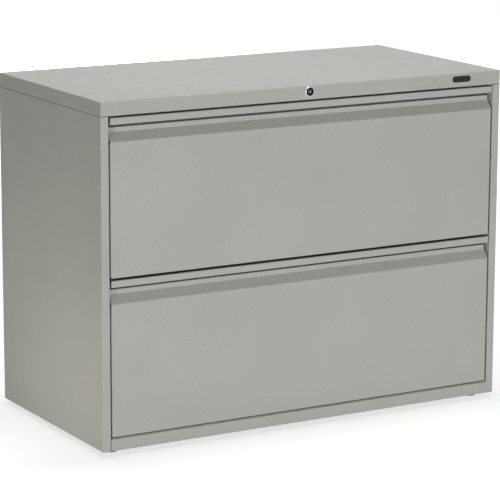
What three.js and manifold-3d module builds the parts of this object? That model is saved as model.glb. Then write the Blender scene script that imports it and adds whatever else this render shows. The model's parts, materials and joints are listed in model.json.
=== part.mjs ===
// Two-drawer lateral filing cabinet in folded sheet steel.
// Millimetres, +Z up. X runs along the width, -Y is the front, and the origin is on the floor at the
// middle of the cabinet's box.

import * as THREE from 'three';
import { mergeVertices } from 'three/addons/utils/BufferGeometryUtils.js';
import Module from 'manifold-3d';

const wasm = await Module();
wasm.setup();

// Driving dimensions of the case
const CABINET_WIDTH = 914;
const CABINET_DEPTH = 457;
const CASE_HEIGHT = 682;
const GLIDE_HEIGHT = 10;
const SHEET = 1;
const BEND_RADIUS = 1;
const WELD_GAP = 0.3;
const OVERLAP = 1;
const TOP_SKIRT = 28.4;
const TOP_RETURN = 14;
const STILE_WIDTH = 17.2;
const STILE_RETURN = 26;
const REAR_FLANGE = 16;
const BASE_HEIGHT = 24;
const BASE_FOOT_FLANGE = 52;
const BASE_TOP_FLANGE = 18;

// Driving dimensions of the drawer fronts and their hook pulls
const TOP_GAP = 3.4;
const MIDDLE_GAP = 4.4;
const BOTTOM_GAP = 3.4;
const SIDE_GAP = 3.2;
const LIP_HEIGHT = 13.4;
const BAND_TOP = 19.8;
const BAND_BOTTOM = 29.5;
const SLOPE_END = 46.5;
const RECESS_DEPTH = 14.5;
const HAND_SPACE_DEPTH = 20;
const HEM_HEIGHT = 8;
const HEM_RADIUS = 0.15;

// Driving dimensions of the drawer boxes
const DRAWER_TRAVEL = 400;
const DRAWER_SHEET = 0.9;
const BOX_HALF_WIDTH = 418.5;
const BOX_BACK = 430;
const BOX_FLOOR = 10;
const BOX_TOP = 238;
const BOX_FLANGE = 12.5;
const LINER_MARGIN = 7;
const LINER_FLANGE = 4;
const LINER_OVERHANG = 2;
const HANG_RAIL_HEIGHT = 16;
const HANG_RAIL_FOOT = 10;
const HANG_RAIL_SHEET = 1.5;
const HANG_RAIL_INSET = 13;
const CATCH_HEIGHT = 20;
const CATCH_LOW = 110;
const CATCH_REACH = 17;
const CATCH_THICKNESS = 2;

// Driving dimensions of the slides: half heights of the nested channels, and where each one sits across X
const SLIDE_LENGTH = 400;
const SLIDE_START = 38;
const SLIDE_CENTRE = 60;
const SLIDE_SHEET = 1.4;
const SLIDE_BEND_RADIUS = 0.5;
const SLIDE_BEND_STEPS = 2;
const CASE_MEMBER = { half: 23, web: 437.8, tip: 424 };
const MIDDLE_MEMBER = { half: 18, web: 434, tip: 422.5 };
const DRAWER_MEMBER = { half: 13, web: 418.8, tip: 430.5 };
const OUTER_CAGE = { half: 20.2, web: 435.6, tip: 425, ballX: 430 };
const INNER_CAGE = { half: 15.2, web: 431.9, tip: 423, ballX: 427 };
const CAGE_SHEET = 0.8;
const CAGE_LENGTH = 180;
const CAGE_MARGIN = 10;
const BALL_RADIUS = 1.6;
const BALLS_PER_ROW = 4;

// Driving dimensions of the uprights, the base and the feet
const UPRIGHT_WIDTH = 40;
const UPRIGHT_WEB = 438;
const FRONT_UPRIGHT_START = 36;
const REAR_UPRIGHT_END = 24;
const UPRIGHT_SLOT = { wide: 4, tall: 14, pitch: 50, count: 11 };
const GLIDE_INSET_X = 34;
const GLIDE_INSET_Y = 36;
const GLIDE_FOOT_RADIUS = 11.5;
const GLIDE_STEM_RADIUS = 4;
const GLIDE_STEM_TOP = 31;
const NUT_RADIUS = 8;
const NUT_HEIGHT = 8;
const RUNNING_CLEARANCE = 0.35;
const COUNTERWEIGHT = { width: 780, depth: 16, height: 145 };

// Driving dimensions of the lock, its linkage and the plate beside it
const LOCK_DROP = 12.3;
const LOCK_PROUD = 2.5;
const LOCK_RIM_RADIUS = 9.5;
const RIM_BEVEL = { wide: 1.2, boreDepth: 0.6, crownDrop: 0.4, rimDepth: 1.4 };
const LOCK_BARREL_RADIUS = 8.2;
const LOCK_BARREL_END = 22;
const PLUG_RADIUS = 6;
const PLUG_TAIL_RADIUS = 3.5;
const PLUG_SUNK = 0.5;
const PLUG_END_ROOM = 0.5;
const KEYWAY = { wide: 1.6, tall: 8, deep: 7 };
const LOCK_NUT_FLATS = 20;
const CAM_START = 25.5;
const CAM_THICKNESS = 2.5;
const CAM_RADIUS = 16;
const CAM_EYE_RADIUS = 7;
const PIN_RADIUS = 2.5;
const PIN_WALL = 1.5;
const LINK_START = 28.5;
const LINK_THICKNESS = 2.5;
const LINK_BAND = [664, 676];
const RAIL_CLEARANCE = 0.8;
const RAIL_FLANGE = 22;
const BAR_START = 31.6;
const BAR_THICKNESS = 2.4;
const BAR_X = [442, 454];
const BAR_PIN_X = 396;
const BAR_PIN_Z = 648;
const BAR_SLOPE = 0.7;
const BAR_FOOT = 100;
const FINGER_TIP = 424;
const FINGER_HEIGHT = 12;
const FINGER_CLEARANCE = 3;
const STUD_X = [120, 340];
const STUD_Z = [300, 560];
const STUD_HEAD_RADIUS = 4.3;
const SLOT_CLEARANCE = 0.4;
const BADGE = { length: 44, height: 12.7, thickness: 1, fromRight: 96 };

// Places worked out from the driving dimensions
const HALF_WIDTH = CABINET_WIDTH / 2;
const FRONT = (LOCK_PROUD - CABINET_DEPTH) / 2;
const BACK = FRONT + CABINET_DEPTH;
const CASE_BOTTOM = GLIDE_HEIGHT;
const CASE_TOP = CASE_BOTTOM + CASE_HEIGHT;
const SKIRT_BOTTOM = CASE_TOP - TOP_SKIRT;
const PANEL_TOP = SKIRT_BOTTOM - WELD_GAP;
const BASE_TOP = CASE_BOTTOM + BASE_HEIGHT;
const STILE_EDGE = HALF_WIDTH - STILE_WIDTH;
const FRONT_HALF_WIDTH = STILE_EDGE - SIDE_GAP;
const DRAWER_HEIGHT = (CASE_HEIGHT - TOP_SKIRT - BASE_HEIGHT - TOP_GAP - MIDDLE_GAP - BOTTOM_GAP) / 2;
const LOWER_DRAWER_Z = BASE_TOP + BOTTOM_GAP;
const UPPER_DRAWER_Z = LOWER_DRAWER_Z + DRAWER_HEIGHT + MIDDLE_GAP;
const DRAWER_FRONT_DEPTH = HAND_SPACE_DEPTH + DRAWER_SHEET;
const LINER_FACE = DRAWER_FRONT_DEPTH + WELD_GAP;
const LINER_BACK = LINER_FACE + DRAWER_SHEET;
const PAN_Z = BASE_TOP + WELD_GAP;
const LOCK_Z = CASE_TOP - LOCK_DROP;
const PIN_REACH = CAM_RADIUS * Math.SQRT1_2;
const LINK_TRAVEL = 2 * PIN_REACH;
const BAR_DROP = LINK_TRAVEL * BAR_SLOPE;
const RAIL_WEB = LINK_START + LINK_THICKNESS + RAIL_CLEARANCE;
const STUD_RADIUS = PIN_RADIUS;
const SLOT_RADIUS = STUD_RADIUS + SLOT_CLEARANCE;
const CAGE_START = SLIDE_START + DRAWER_TRAVEL / 4 + CAGE_MARGIN;
const SIDES = [['left', -1], ['right', 1]];
const ENDS = ['front', 'rear'];
const DRAWERS = [['upper', UPPER_DRAWER_Z], ['lower', LOWER_DRAWER_Z]];

const cabinet = new THREE.Group();

// Finishes

const finish = (color, roughness, metalness) => ({ color, roughness, metalness });
const PAINT = finish(0xa9aaa4, 0.55, 0.1);
const ZINC = finish(0xb4b8ba, 0.35, 0.9);
const DARK_STEEL = finish(0x4b4d4f, 0.6, 0.7);
const CHROME = finish(0xd8dadc, 0.15, 1);
const BLACK_PLASTIC = finish(0x1b1c1d, 0.5, 0);

// Helpers: solids as vertex lists for joining and cutting

const MERGE_DISTANCE = 1e-4;

function toSolid(geometry) {
  const bare = geometry.clone();
  bare.deleteAttribute('normal');
  bare.deleteAttribute('uv');
  const merged = mergeVertices(bare, MERGE_DISTANCE);
  const vertProperties = new Float32Array(merged.attributes.position.array);
  const triVerts = new Uint32Array(merged.index.array);
  return new wasm.Manifold(new wasm.Mesh({ numProp: 3, vertProperties, triVerts }));
}

function toGeometry(solid) {
  const mesh = solid.getMesh();
  const geometry = new THREE.BufferGeometry();
  geometry.setAttribute('position', new THREE.BufferAttribute(mesh.vertProperties, 3));
  geometry.setIndex(new THREE.BufferAttribute(mesh.triVerts, 1));
  geometry.computeVertexNormals();
  return geometry;
}

const join = (geometry, added) =>
  toGeometry(added.reduce((solid, extra) => solid.add(toSolid(extra)), toSolid(geometry)));

const cut = (geometry, tools) =>
  toGeometry(tools.reduce((solid, tool) => solid.subtract(toSolid(tool)), toSolid(geometry)));

// Helpers: shapes

// A box between two corners.
function boxBetween(low, high) {
  const geometry = new THREE.BoxGeometry(high[0] - low[0], high[1] - low[1], high[2] - low[2]);
  return geometry.translate((low[0] + high[0]) / 2, (low[1] + high[1]) / 2, (low[2] + high[2]) / 2);
}

// A round bar along Y between two depths.
function roundBarY(radius, x, z, nearY, farY, sides = 20) {
  const geometry = new THREE.CylinderGeometry(radius, radius, farY - nearY, sides);
  return geometry.translate(x, (nearY + farY) / 2, z);
}

// The section of a folded sheet. The path is one face of the sheet, and the sheet lies on the path's left.
function foldedSheet(path, thickness = SHEET, insideRadius = BEND_RADIUS, steps = 3) {
  const points = path.map(([x, y]) => new THREE.Vector2(x, y));
  const leftOf = (direction) => new THREE.Vector2(-direction.y, direction.x);
  const face = [];
  const back = [];
  const origin = new THREE.Vector2();
  points.forEach((point, i) => {
    const before = i > 0 ? point.clone().sub(points[i - 1]).normalize() : null;
    const after = i < points.length - 1 ? points[i + 1].clone().sub(point).normalize() : null;
    if (!before || !after) {
      face.push(point);
      back.push(point.clone().addScaledVector(leftOf(before ?? after), thickness));
      return;
    }
    const turn = Math.atan2(before.cross(after), before.dot(after));
    const side = Math.sign(turn);
    const faceRadius = side > 0 ? insideRadius + thickness : insideRadius;
    const backRadius = side > 0 ? insideRadius : insideRadius + thickness;
    const tangent = faceRadius * Math.tan(Math.abs(turn) / 2);
    const spoke = leftOf(before).multiplyScalar(-side);
    const centre = point.clone().addScaledVector(before, -tangent).addScaledVector(spoke, -faceRadius);
    for (let k = 0; k <= steps; k += 1) {
      const ray = spoke.clone().rotateAround(origin, (turn * k) / steps);
      face.push(centre.clone().addScaledVector(ray, faceRadius));
      back.push(centre.clone().addScaledVector(ray, backRadius));
    }
  });
  return new THREE.Shape([...face, ...back.reverse()]);
}

const extrude = (shape, depth) =>
  new THREE.ExtrudeGeometry(shape, { depth, bevelEnabled: false, curveSegments: 6 });

// A section in Y and Z, drawn out along X from one place to another.
const alongX = (shape, fromX, toX) =>
  extrude(shape, toX - fromX).rotateY(Math.PI / 2).rotateX(Math.PI / 2).translate(fromX, 0, 0);

// A section in X and Z, drawn out along Y from one depth to another.
const alongY = (shape, fromY, toY) => extrude(shape, toY - fromY).rotateX(Math.PI / 2).translate(0, toY, 0);

// A section in X and Y, drawn up from one height to another.
const alongZ = (shape, fromZ, toZ) => extrude(shape, toZ - fromZ).translate(0, 0, fromZ);

// A slot with round ends between two points.
function slotPath(from, to, radius) {
  const angle = Math.atan2(to[1] - from[1], to[0] - from[0]);
  const path = new THREE.Path();
  path.absarc(to[0], to[1], radius, angle - Math.PI / 2, angle + Math.PI / 2);
  path.absarc(from[0], from[1], radius, angle + Math.PI / 2, angle + (3 * Math.PI) / 2);
  path.closePath();
  return path;
}

const polygon = (corners) => new THREE.Shape(corners.map(([x, y]) => new THREE.Vector2(x, y)));

function piece(name, geometry, look, parent = cabinet) {
  const mesh = new THREE.Mesh(geometry, new THREE.MeshStandardMaterial(look));
  mesh.name = name;
  parent.add(mesh);
  return mesh;
}

// Case: top, sides, back

function topCap() {
  const outside = boxBetween([-HALF_WIDTH, FRONT, SKIRT_BOTTOM], [HALF_WIDTH, BACK, CASE_TOP]);
  const inside = boxBetween(
    [-HALF_WIDTH + SHEET, FRONT + SHEET, SKIRT_BOTTOM + SHEET],
    [HALF_WIDTH - SHEET, BACK - SHEET, CASE_TOP - SHEET],
  );
  const mouth = boxBetween(
    [-HALF_WIDTH + SHEET, FRONT + TOP_RETURN, SKIRT_BOTTOM - OVERLAP],
    [HALF_WIDTH - SHEET, BACK - SHEET, SKIRT_BOTTOM + SHEET + OVERLAP],
  );
  const holeRadius = LOCK_BARREL_RADIUS + RUNNING_CLEARANCE;
  const lockHole = roundBarY(holeRadius, 0, LOCK_Z, FRONT - OVERLAP, FRONT + SHEET + OVERLAP);
  return cut(outside, [inside, mouth, lockHole]);
}

piece('top_cap', topCap(), PAINT);

for (const [name, side] of SIDES) {
  const rearFace = BACK - SHEET - WELD_GAP;
  const path = [
    [side * (HALF_WIDTH - REAR_FLANGE), rearFace],
    [side * HALF_WIDTH, rearFace],
    [side * HALF_WIDTH, FRONT],
    [side * STILE_EDGE, FRONT],
    [side * STILE_EDGE, FRONT + STILE_RETURN],
  ];
  const section = foldedSheet(side > 0 ? path.reverse() : path);
  piece(`${name}_side_panel`, alongZ(section, CASE_BOTTOM, PANEL_TOP), PAINT);
}

piece(
  'back_panel',
  boxBetween([-HALF_WIDTH, BACK - SHEET, CASE_BOTTOM], [HALF_WIDTH, BACK, PANEL_TOP]),
  PAINT,
);

// Case: base rails with weld nuts, bottom pan and counterweight

function baseRail(faceY, inward) {
  const path = [
    [faceY + inward * BASE_FOOT_FLANGE, CASE_BOTTOM],
    [faceY, CASE_BOTTOM],
    [faceY, BASE_TOP],
    [faceY + inward * BASE_TOP_FLANGE, BASE_TOP],
  ];
  const section = foldedSheet(inward > 0 ? path.reverse() : path);
  const halfLength = STILE_EDGE - WELD_GAP;
  const glideY = faceY + inward * GLIDE_INSET_Y;
  const nuts = [];
  const holes = [];
  for (const [, side] of SIDES) {
    const x = side * (HALF_WIDTH - GLIDE_INSET_X);
    const nut = new THREE.CylinderGeometry(NUT_RADIUS, NUT_RADIUS, NUT_HEIGHT, 6).rotateX(Math.PI / 2);
    nuts.push(nut.translate(x, glideY, CASE_BOTTOM + SHEET / 2 + NUT_HEIGHT / 2));
    const holeRadius = GLIDE_STEM_RADIUS + RUNNING_CLEARANCE;
    const hole = new THREE.CylinderGeometry(holeRadius, holeRadius, 4 * NUT_HEIGHT, 16).rotateX(Math.PI / 2);
    holes.push(hole.translate(x, glideY, CASE_BOTTOM));
  }
  return cut(join(alongX(section, -halfLength, halfLength), nuts), holes);
}

const REAR_RAIL_FACE = BACK - SHEET - WELD_GAP;
piece('base_front_rail', baseRail(FRONT, 1), PAINT);
piece('base_rear_rail', baseRail(REAR_RAIL_FACE, -1), PAINT);

const panHalfWidth = UPRIGHT_WEB - WELD_GAP;
piece(
  'bottom_pan',
  boxBetween(
    [-panHalfWidth, FRONT + 2 * SHEET, PAN_Z],
    [panHalfWidth, REAR_RAIL_FACE - WELD_GAP, PAN_Z + SHEET],
  ),
  PAINT,
);

const counterweightBase = PAN_Z + SHEET + WELD_GAP;
const counterweightBack = REAR_RAIL_FACE - SHEET - WELD_GAP;
piece(
  'counterweight',
  boxBetween(
    [-COUNTERWEIGHT.width / 2, counterweightBack - COUNTERWEIGHT.depth, counterweightBase],
    [COUNTERWEIGHT.width / 2, counterweightBack, counterweightBase + COUNTERWEIGHT.height],
  ),
  DARK_STEEL,
);

// Case: slotted uprights that carry the slides, the right front one with studs for the lock bar

function upright(side, nearY, studs) {
  const farY = nearY + UPRIGHT_WIDTH;
  const skin = HALF_WIDTH - SHEET - WELD_GAP;
  const path = [
    [side * skin, nearY],
    [side * UPRIGHT_WEB, nearY],
    [side * UPRIGHT_WEB, farY],
    [side * skin, farY],
  ];
  const section = foldedSheet(side > 0 ? path.reverse() : path);
  const post = alongZ(section, BASE_TOP + WELD_GAP, PANEL_TOP - WELD_GAP);
  const middleY = (nearY + farY) / 2;
  const slots = [];
  for (let k = 0; k < UPRIGHT_SLOT.count; k += 1) {
    const z = BASE_TOP + UPRIGHT_SLOT.pitch * (k + 1);
    slots.push(boxBetween(
      [side * UPRIGHT_WEB - 2 * SHEET, middleY - UPRIGHT_SLOT.wide / 2, z - UPRIGHT_SLOT.tall / 2],
      [side * UPRIGHT_WEB + 2 * SHEET, middleY + UPRIGHT_SLOT.wide / 2, z + UPRIGHT_SLOT.tall / 2],
    ));
  }
  return join(cut(post, slots), studs);
}

// A headed stud that stands forward out of a sheet's front face.
function headedStud(x, z, rootY, headY) {
  const headThickness = 1.2;
  const shank = roundBarY(STUD_RADIUS, x, z, headY - headThickness / 2, rootY + SHEET / 2, 12);
  const head = roundBarY(STUD_HEAD_RADIUS, x, z, headY - headThickness, headY, 12);
  return join(shank, [head]);
}

const frontUprightY = FRONT + FRONT_UPRIGHT_START;
const rearUprightY = BACK - REAR_UPRIGHT_END - UPRIGHT_WIDTH;
const barMiddleX = (BAR_X[0] + BAR_X[1]) / 2;
for (const [name, side] of SIDES) {
  const barStuds = STUD_Z.map((z) => headedStud(barMiddleX, z, frontUprightY, FRONT + BAR_START - WELD_GAP));
  piece(`front_upright_${name}`, upright(side, frontUprightY, side > 0 ? barStuds : []), ZINC);
  piece(`rear_upright_${name}`, upright(side, rearUprightY, []), ZINC);
}

// Case: channel under the top that guides the lock link

function topFrontRail() {
  const webY = FRONT + RAIL_WEB;
  const top = CASE_TOP - SHEET - WELD_GAP;
  const bottom = SKIRT_BOTTOM + WELD_GAP;
  const section = foldedSheet([
    [webY + RAIL_FLANGE, bottom],
    [webY, bottom],
    [webY, top],
    [webY + RAIL_FLANGE, top],
  ].reverse());
  const studZ = (LINK_BAND[0] + LINK_BAND[1]) / 2;
  const studs = STUD_X.map((x) => headedStud(x, studZ, webY, FRONT + LINK_START - WELD_GAP));
  return join(alongX(section, -UPRIGHT_WEB, UPRIGHT_WEB), studs);
}

piece('top_front_rail', topFrontRail(), ZINC);

// Bare pill-shaped plate on the skirt

const badgeX = HALF_WIDTH - BADGE.fromRight;
const badgeEnd = (BADGE.length - BADGE.height) / 2;
const badgeOutline = new THREE.Shape(
  slotPath([badgeX - badgeEnd, LOCK_Z], [badgeX + badgeEnd, LOCK_Z], BADGE.height / 2).getPoints(6),
);
const badgeBack = FRONT - WELD_GAP / 3;
piece('badge_plate', alongY(badgeOutline, badgeBack - BADGE.thickness, badgeBack), BLACK_PLASTIC);

// Lock: housing, nut, plug with keyway, cam with its pin

function turnedAlongY(profile, sides) {
  const outline = profile.map(([radius, depth]) => new THREE.Vector2(radius, depth));
  return new THREE.LatheGeometry([...outline, outline[0].clone()], sides).translate(0, FRONT, LOCK_Z);
}

const boreRadius = PLUG_RADIUS + RUNNING_CLEARANCE;
const seat = -WELD_GAP / 3;
piece(
  'lock_housing',
  turnedAlongY([
    [boreRadius, LOCK_BARREL_END],
    [boreRadius, RIM_BEVEL.boreDepth - LOCK_PROUD],
    [boreRadius + RIM_BEVEL.wide, -LOCK_PROUD],
    [LOCK_RIM_RADIUS - RIM_BEVEL.wide, RIM_BEVEL.crownDrop - LOCK_PROUD],
    [LOCK_RIM_RADIUS, RIM_BEVEL.rimDepth - LOCK_PROUD],
    [LOCK_RIM_RADIUS, seat],
    [LOCK_BARREL_RADIUS, seat],
    [LOCK_BARREL_RADIUS, LOCK_BARREL_END],
  ], 24),
  CHROME,
);

function hexNut() {
  const outline = new THREE.Shape();
  const reach = LOCK_NUT_FLATS / Math.sqrt(3);
  for (let k = 0; k < 6; k += 1) {
    const angle = (k * Math.PI) / 3;
    const corner = [reach * Math.cos(angle), LOCK_Z + reach * Math.sin(angle)];
    if (k === 0) outline.moveTo(...corner);
    else outline.lineTo(...corner);
  }
  const hole = new THREE.Path();
  hole.absarc(0, LOCK_Z, LOCK_BARREL_RADIUS + RUNNING_CLEARANCE, 0, 2 * Math.PI);
  outline.holes.push(hole);
  const nutThickness = 4;
  const nearY = FRONT + SHEET + WELD_GAP;
  return alongY(outline, nearY, nearY + nutThickness);
}

piece('lock_nut', hexNut(), ZINC);

function lockPlug() {
  const face = PLUG_SUNK - LOCK_PROUD;
  const shoulder = LOCK_BARREL_END + PLUG_END_ROOM;
  const tailEnd = CAM_START + CAM_THICKNESS - PLUG_END_ROOM;
  const body = roundBarY(PLUG_RADIUS, 0, LOCK_Z, FRONT + face, FRONT + shoulder, 24);
  const tail = roundBarY(PLUG_TAIL_RADIUS, 0, LOCK_Z, FRONT + shoulder - OVERLAP, FRONT + tailEnd, 16);
  const keyway = boxBetween(
    [-KEYWAY.wide / 2, FRONT + face - OVERLAP, LOCK_Z - KEYWAY.tall / 2],
    [KEYWAY.wide / 2, FRONT + face + KEYWAY.deep, LOCK_Z + KEYWAY.tall / 2],
  );
  return cut(join(body, [tail]), [keyway]);
}

piece('lock_plug', lockPlug(), CHROME);

// The cam points down to the right at rest, and down to the left when the lock is shut.
function lockCam() {
  const pinX = PIN_REACH;
  const pinZ = LOCK_Z - PIN_REACH;
  const outline = new THREE.Shape();
  const lean = -Math.PI / 4;
  const upperSide = lean + Math.PI / 2;
  const lowerSide = lean - Math.PI / 2;
  outline.absarc(0, LOCK_Z, CAM_EYE_RADIUS, upperSide, lowerSide);
  outline.absarc(pinX, pinZ, PIN_RADIUS + PIN_WALL, lowerSide, upperSide);
  outline.closePath();
  const eye = new THREE.Path();
  eye.absarc(0, LOCK_Z, PLUG_TAIL_RADIUS + WELD_GAP, 0, 2 * Math.PI);
  outline.holes.push(eye);
  const plate = alongY(outline, FRONT + CAM_START, FRONT + CAM_START + CAM_THICKNESS);
  const pinStart = FRONT + CAM_START + CAM_THICKNESS / 2;
  const pin = roundBarY(PIN_RADIUS, pinX, pinZ, pinStart, FRONT + LINK_START + LINK_THICKNESS, 12);
  return join(plate, [pin]);
}

piece('lock_cam', lockCam(), ZINC);

// Lock link: a slotted bar that the cam pulls left, with a sloping slot that drives the lock bar down

function lockLink() {
  const [low, high] = LINK_BAND;
  const ear = 12;
  const wideEar = 16;
  const slant = 8;
  const slotWall = 9;
  const nearEnd = [PIN_REACH - ear, PIN_REACH + wideEar];
  const farEnd = [BAR_PIN_X - ear, BAR_PIN_X + LINK_TRAVEL + ear];
  const farBottom = BAR_PIN_Z - BAR_DROP - slotWall;
  const outline = polygon([
    [nearEnd[0], high],
    [nearEnd[0], low - ear],
    [nearEnd[1], low - ear],
    [nearEnd[1] + slant, low],
    [farEnd[0] - slant, low],
    [farEnd[0], low - slant],
    [farEnd[0], farBottom],
    [farEnd[1], farBottom],
    [farEnd[1], low],
    [farEnd[1] - ear, high],
  ]);
  const camSlack = 0.8;
  const camEndRoom = 1;
  const camSlotLow = [PIN_REACH, LOCK_Z - CAM_RADIUS - camEndRoom];
  const camSlotHigh = [PIN_REACH, LOCK_Z - PIN_REACH + camEndRoom];
  outline.holes.push(slotPath(camSlotLow, camSlotHigh, PIN_RADIUS + camSlack));
  const studZ = (low + high) / 2;
  for (const x of STUD_X) {
    outline.holes.push(slotPath([x, studZ], [x + LINK_TRAVEL, studZ], SLOT_RADIUS));
  }
  outline.holes.push(slotPath(
    [BAR_PIN_X, BAR_PIN_Z],
    [BAR_PIN_X + LINK_TRAVEL, BAR_PIN_Z - BAR_DROP],
    SLOT_RADIUS,
  ));
  return alongY(outline, FRONT + LINK_START, FRONT + LINK_START + LINK_THICKNESS);
}

piece('lock_link', lockLink(), ZINC);

// Lock bar: upright strip whose fingers drop in front of the drawers' catch tabs

function lockBar() {
  const armHalf = 8;
  const armTop = BAR_PIN_Z + armHalf;
  const armBottom = BAR_PIN_Z - armHalf;
  const outline = [
    [BAR_X[1], BAR_FOOT],
    [BAR_X[1], armTop],
    [BAR_PIN_X - armHalf, armTop],
    [BAR_PIN_X - armHalf, armBottom],
    [BAR_X[0], armBottom],
  ];
  for (const [, drawerZ] of DRAWERS) {
    const fingerLow = drawerZ + CATCH_LOW + CATCH_HEIGHT + FINGER_CLEARANCE;
    outline.push([BAR_X[0], fingerLow + FINGER_HEIGHT]);
    outline.push([FINGER_TIP, fingerLow + FINGER_HEIGHT]);
    outline.push([FINGER_TIP, fingerLow]);
    outline.push([BAR_X[0], fingerLow]);
  }
  outline.push([BAR_X[0], BAR_FOOT]);
  const shape = polygon(outline);
  for (const z of STUD_Z) {
    shape.holes.push(slotPath([barMiddleX, z], [barMiddleX, z + BAR_DROP], SLOT_RADIUS));
  }
  const nearY = FRONT + BAR_START;
  const strip = alongY(shape, nearY, nearY + BAR_THICKNESS);
  const pin = roundBarY(PIN_RADIUS, BAR_PIN_X, BAR_PIN_Z, FRONT + LINK_START, nearY + BAR_THICKNESS / 2, 12);
  return join(strip, [pin]);
}

piece('lock_bar', lockBar(), ZINC);

// Levelling glides: a screw stem in a flat foot

function glide() {
  const footTop = 6;
  const footBevel = 1;
  const footSlope = 2;
  const neckRadius = 7;
  const profile = [
    [0, 0],
    [GLIDE_FOOT_RADIUS - footBevel, 0],
    [GLIDE_FOOT_RADIUS, footBevel],
    [GLIDE_FOOT_RADIUS, footTop - footSlope],
    [neckRadius, footTop],
    [neckRadius, GLIDE_HEIGHT - WELD_GAP],
    [GLIDE_STEM_RADIUS, GLIDE_HEIGHT - WELD_GAP],
    [GLIDE_STEM_RADIUS, GLIDE_STEM_TOP],
    [0, GLIDE_STEM_TOP],
  ];
  const outline = profile.map(([radius, z]) => new THREE.Vector2(radius, z));
  return new THREE.LatheGeometry(outline, 20).rotateX(Math.PI / 2);
}

for (const end of ENDS) {
  for (const [name, side] of SIDES) {
    const foot = piece(`glide_${end}_${name}`, glide(), ZINC);
    const y = end === 'front' ? FRONT + GLIDE_INSET_Y : REAR_RAIL_FACE - GLIDE_INSET_Y;
    foot.position.set(side * (HALF_WIDTH - GLIDE_INSET_X), y, 0);
  }
}

// Drawer slides: three nested channels with ball cages between them

function channel({ half, web, tip }, side, sheet) {
  const path = [[tip, half], [web, half], [web, -half], [tip, -half]].map(([x, z]) => [side * x, z]);
  const sheetOnLeft = side * (web - tip) < 0;
  return foldedSheet(sheetOnLeft ? path : path.reverse(), sheet, SLIDE_BEND_RADIUS, SLIDE_BEND_STEPS);
}

const slideY = FRONT + SLIDE_START;

function slideMember(member, side) {
  return alongY(channel(member, side, SLIDE_SHEET), slideY, slideY + SLIDE_LENGTH);
}

function ballCage(cage, side) {
  const nearY = FRONT + CAGE_START;
  const strip = alongY(channel(cage, side, CAGE_SHEET), nearY, nearY + CAGE_LENGTH);
  const balls = [];
  for (const face of [-1, 1]) {
    for (let k = 0; k < BALLS_PER_ROW; k += 1) {
      const y = nearY + (CAGE_LENGTH * (k + 0.5)) / BALLS_PER_ROW;
      const ball = new THREE.SphereGeometry(BALL_RADIUS, 6, 4);
      balls.push(ball.translate(side * cage.ballX, y, face * (cage.half - CAGE_SHEET / 2)));
    }
  }
  return join(strip, balls);
}

function slides(drawer, drawerZ) {
  const group = new THREE.Group();
  group.position.z = drawerZ + SLIDE_CENTRE;
  for (const [name, side] of SIDES) {
    piece(`${drawer}_slide_case_${name}`, slideMember(CASE_MEMBER, side), ZINC, group);
    piece(`${drawer}_slide_middle_${name}`, slideMember(MIDDLE_MEMBER, side), ZINC, group);
    piece(`${drawer}_slide_drawer_${name}`, slideMember(DRAWER_MEMBER, side), ZINC, group);
    piece(`${drawer}_ball_cage_outer_${name}`, ballCage(OUTER_CAGE, side), ZINC, group);
    piece(`${drawer}_ball_cage_inner_${name}`, ballCage(INNER_CAGE, side), ZINC, group);
  }
  return group;
}

// Drawer: face sheet with the hook pull, liner, box and hanging rails, drawn with its bottom edge at Z 0

function drawerFront() {
  const depth = (inward) => FRONT + inward;
  const height = (down) => DRAWER_HEIGHT - down;
  const hemFold = 2 * (DRAWER_SHEET + HEM_RADIUS);
  const hem = foldedSheet([
    [depth(hemFold), height(LIP_HEIGHT - HEM_HEIGHT)],
    [depth(hemFold), height(LIP_HEIGHT)],
    [depth(0), height(LIP_HEIGHT)],
    [depth(0), height(BEND_RADIUS + DRAWER_SHEET + OVERLAP)],
  ].reverse(), DRAWER_SHEET, HEM_RADIUS);
  const body = foldedSheet([
    [depth(DRAWER_FRONT_DEPTH), height(DRAWER_HEIGHT)],
    [depth(0), height(DRAWER_HEIGHT)],
    [depth(0), height(SLOPE_END)],
    [depth(RECESS_DEPTH), height(BAND_BOTTOM)],
    [depth(RECESS_DEPTH), height(BAND_TOP)],
    [depth(HAND_SPACE_DEPTH), height(BAND_TOP)],
    [depth(HAND_SPACE_DEPTH), height(DRAWER_SHEET)],
    [depth(DRAWER_SHEET), height(DRAWER_SHEET)],
    [depth(DRAWER_SHEET), height(LIP_HEIGHT - HEM_HEIGHT / 2)],
  ].reverse(), DRAWER_SHEET);
  const ends = SIDES.map(([, side]) => {
    const edges = [side * FRONT_HALF_WIDTH, side * (FRONT_HALF_WIDTH - DRAWER_SHEET)];
    return boxBetween(
      [Math.min(...edges), depth(DRAWER_SHEET / 2), DRAWER_SHEET / 2],
      [Math.max(...edges), depth(DRAWER_FRONT_DEPTH), height(SLOPE_END + BEND_RADIUS)],
    );
  });
  const sheet = alongX(body, -FRONT_HALF_WIDTH, FRONT_HALF_WIDTH);
  return join(sheet, [alongX(hem, -FRONT_HALF_WIDTH, FRONT_HALF_WIDTH), ...ends]);
}

function frontLiner() {
  const faceY = FRONT + LINER_BACK;
  const top = DRAWER_HEIGHT - LINER_MARGIN;
  const section = foldedSheet([
    [faceY + LINER_FLANGE, LINER_MARGIN],
    [faceY, LINER_MARGIN],
    [faceY, top],
    [faceY + LINER_FLANGE, top],
  ], DRAWER_SHEET);
  const halfLength = BOX_HALF_WIDTH + LINER_OVERHANG;
  return alongX(section, -halfLength, halfLength);
}

const boxStart = FRONT + LINER_BACK + DRAWER_SHEET + WELD_GAP;
const boxEnd = FRONT + BOX_BACK;

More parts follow.
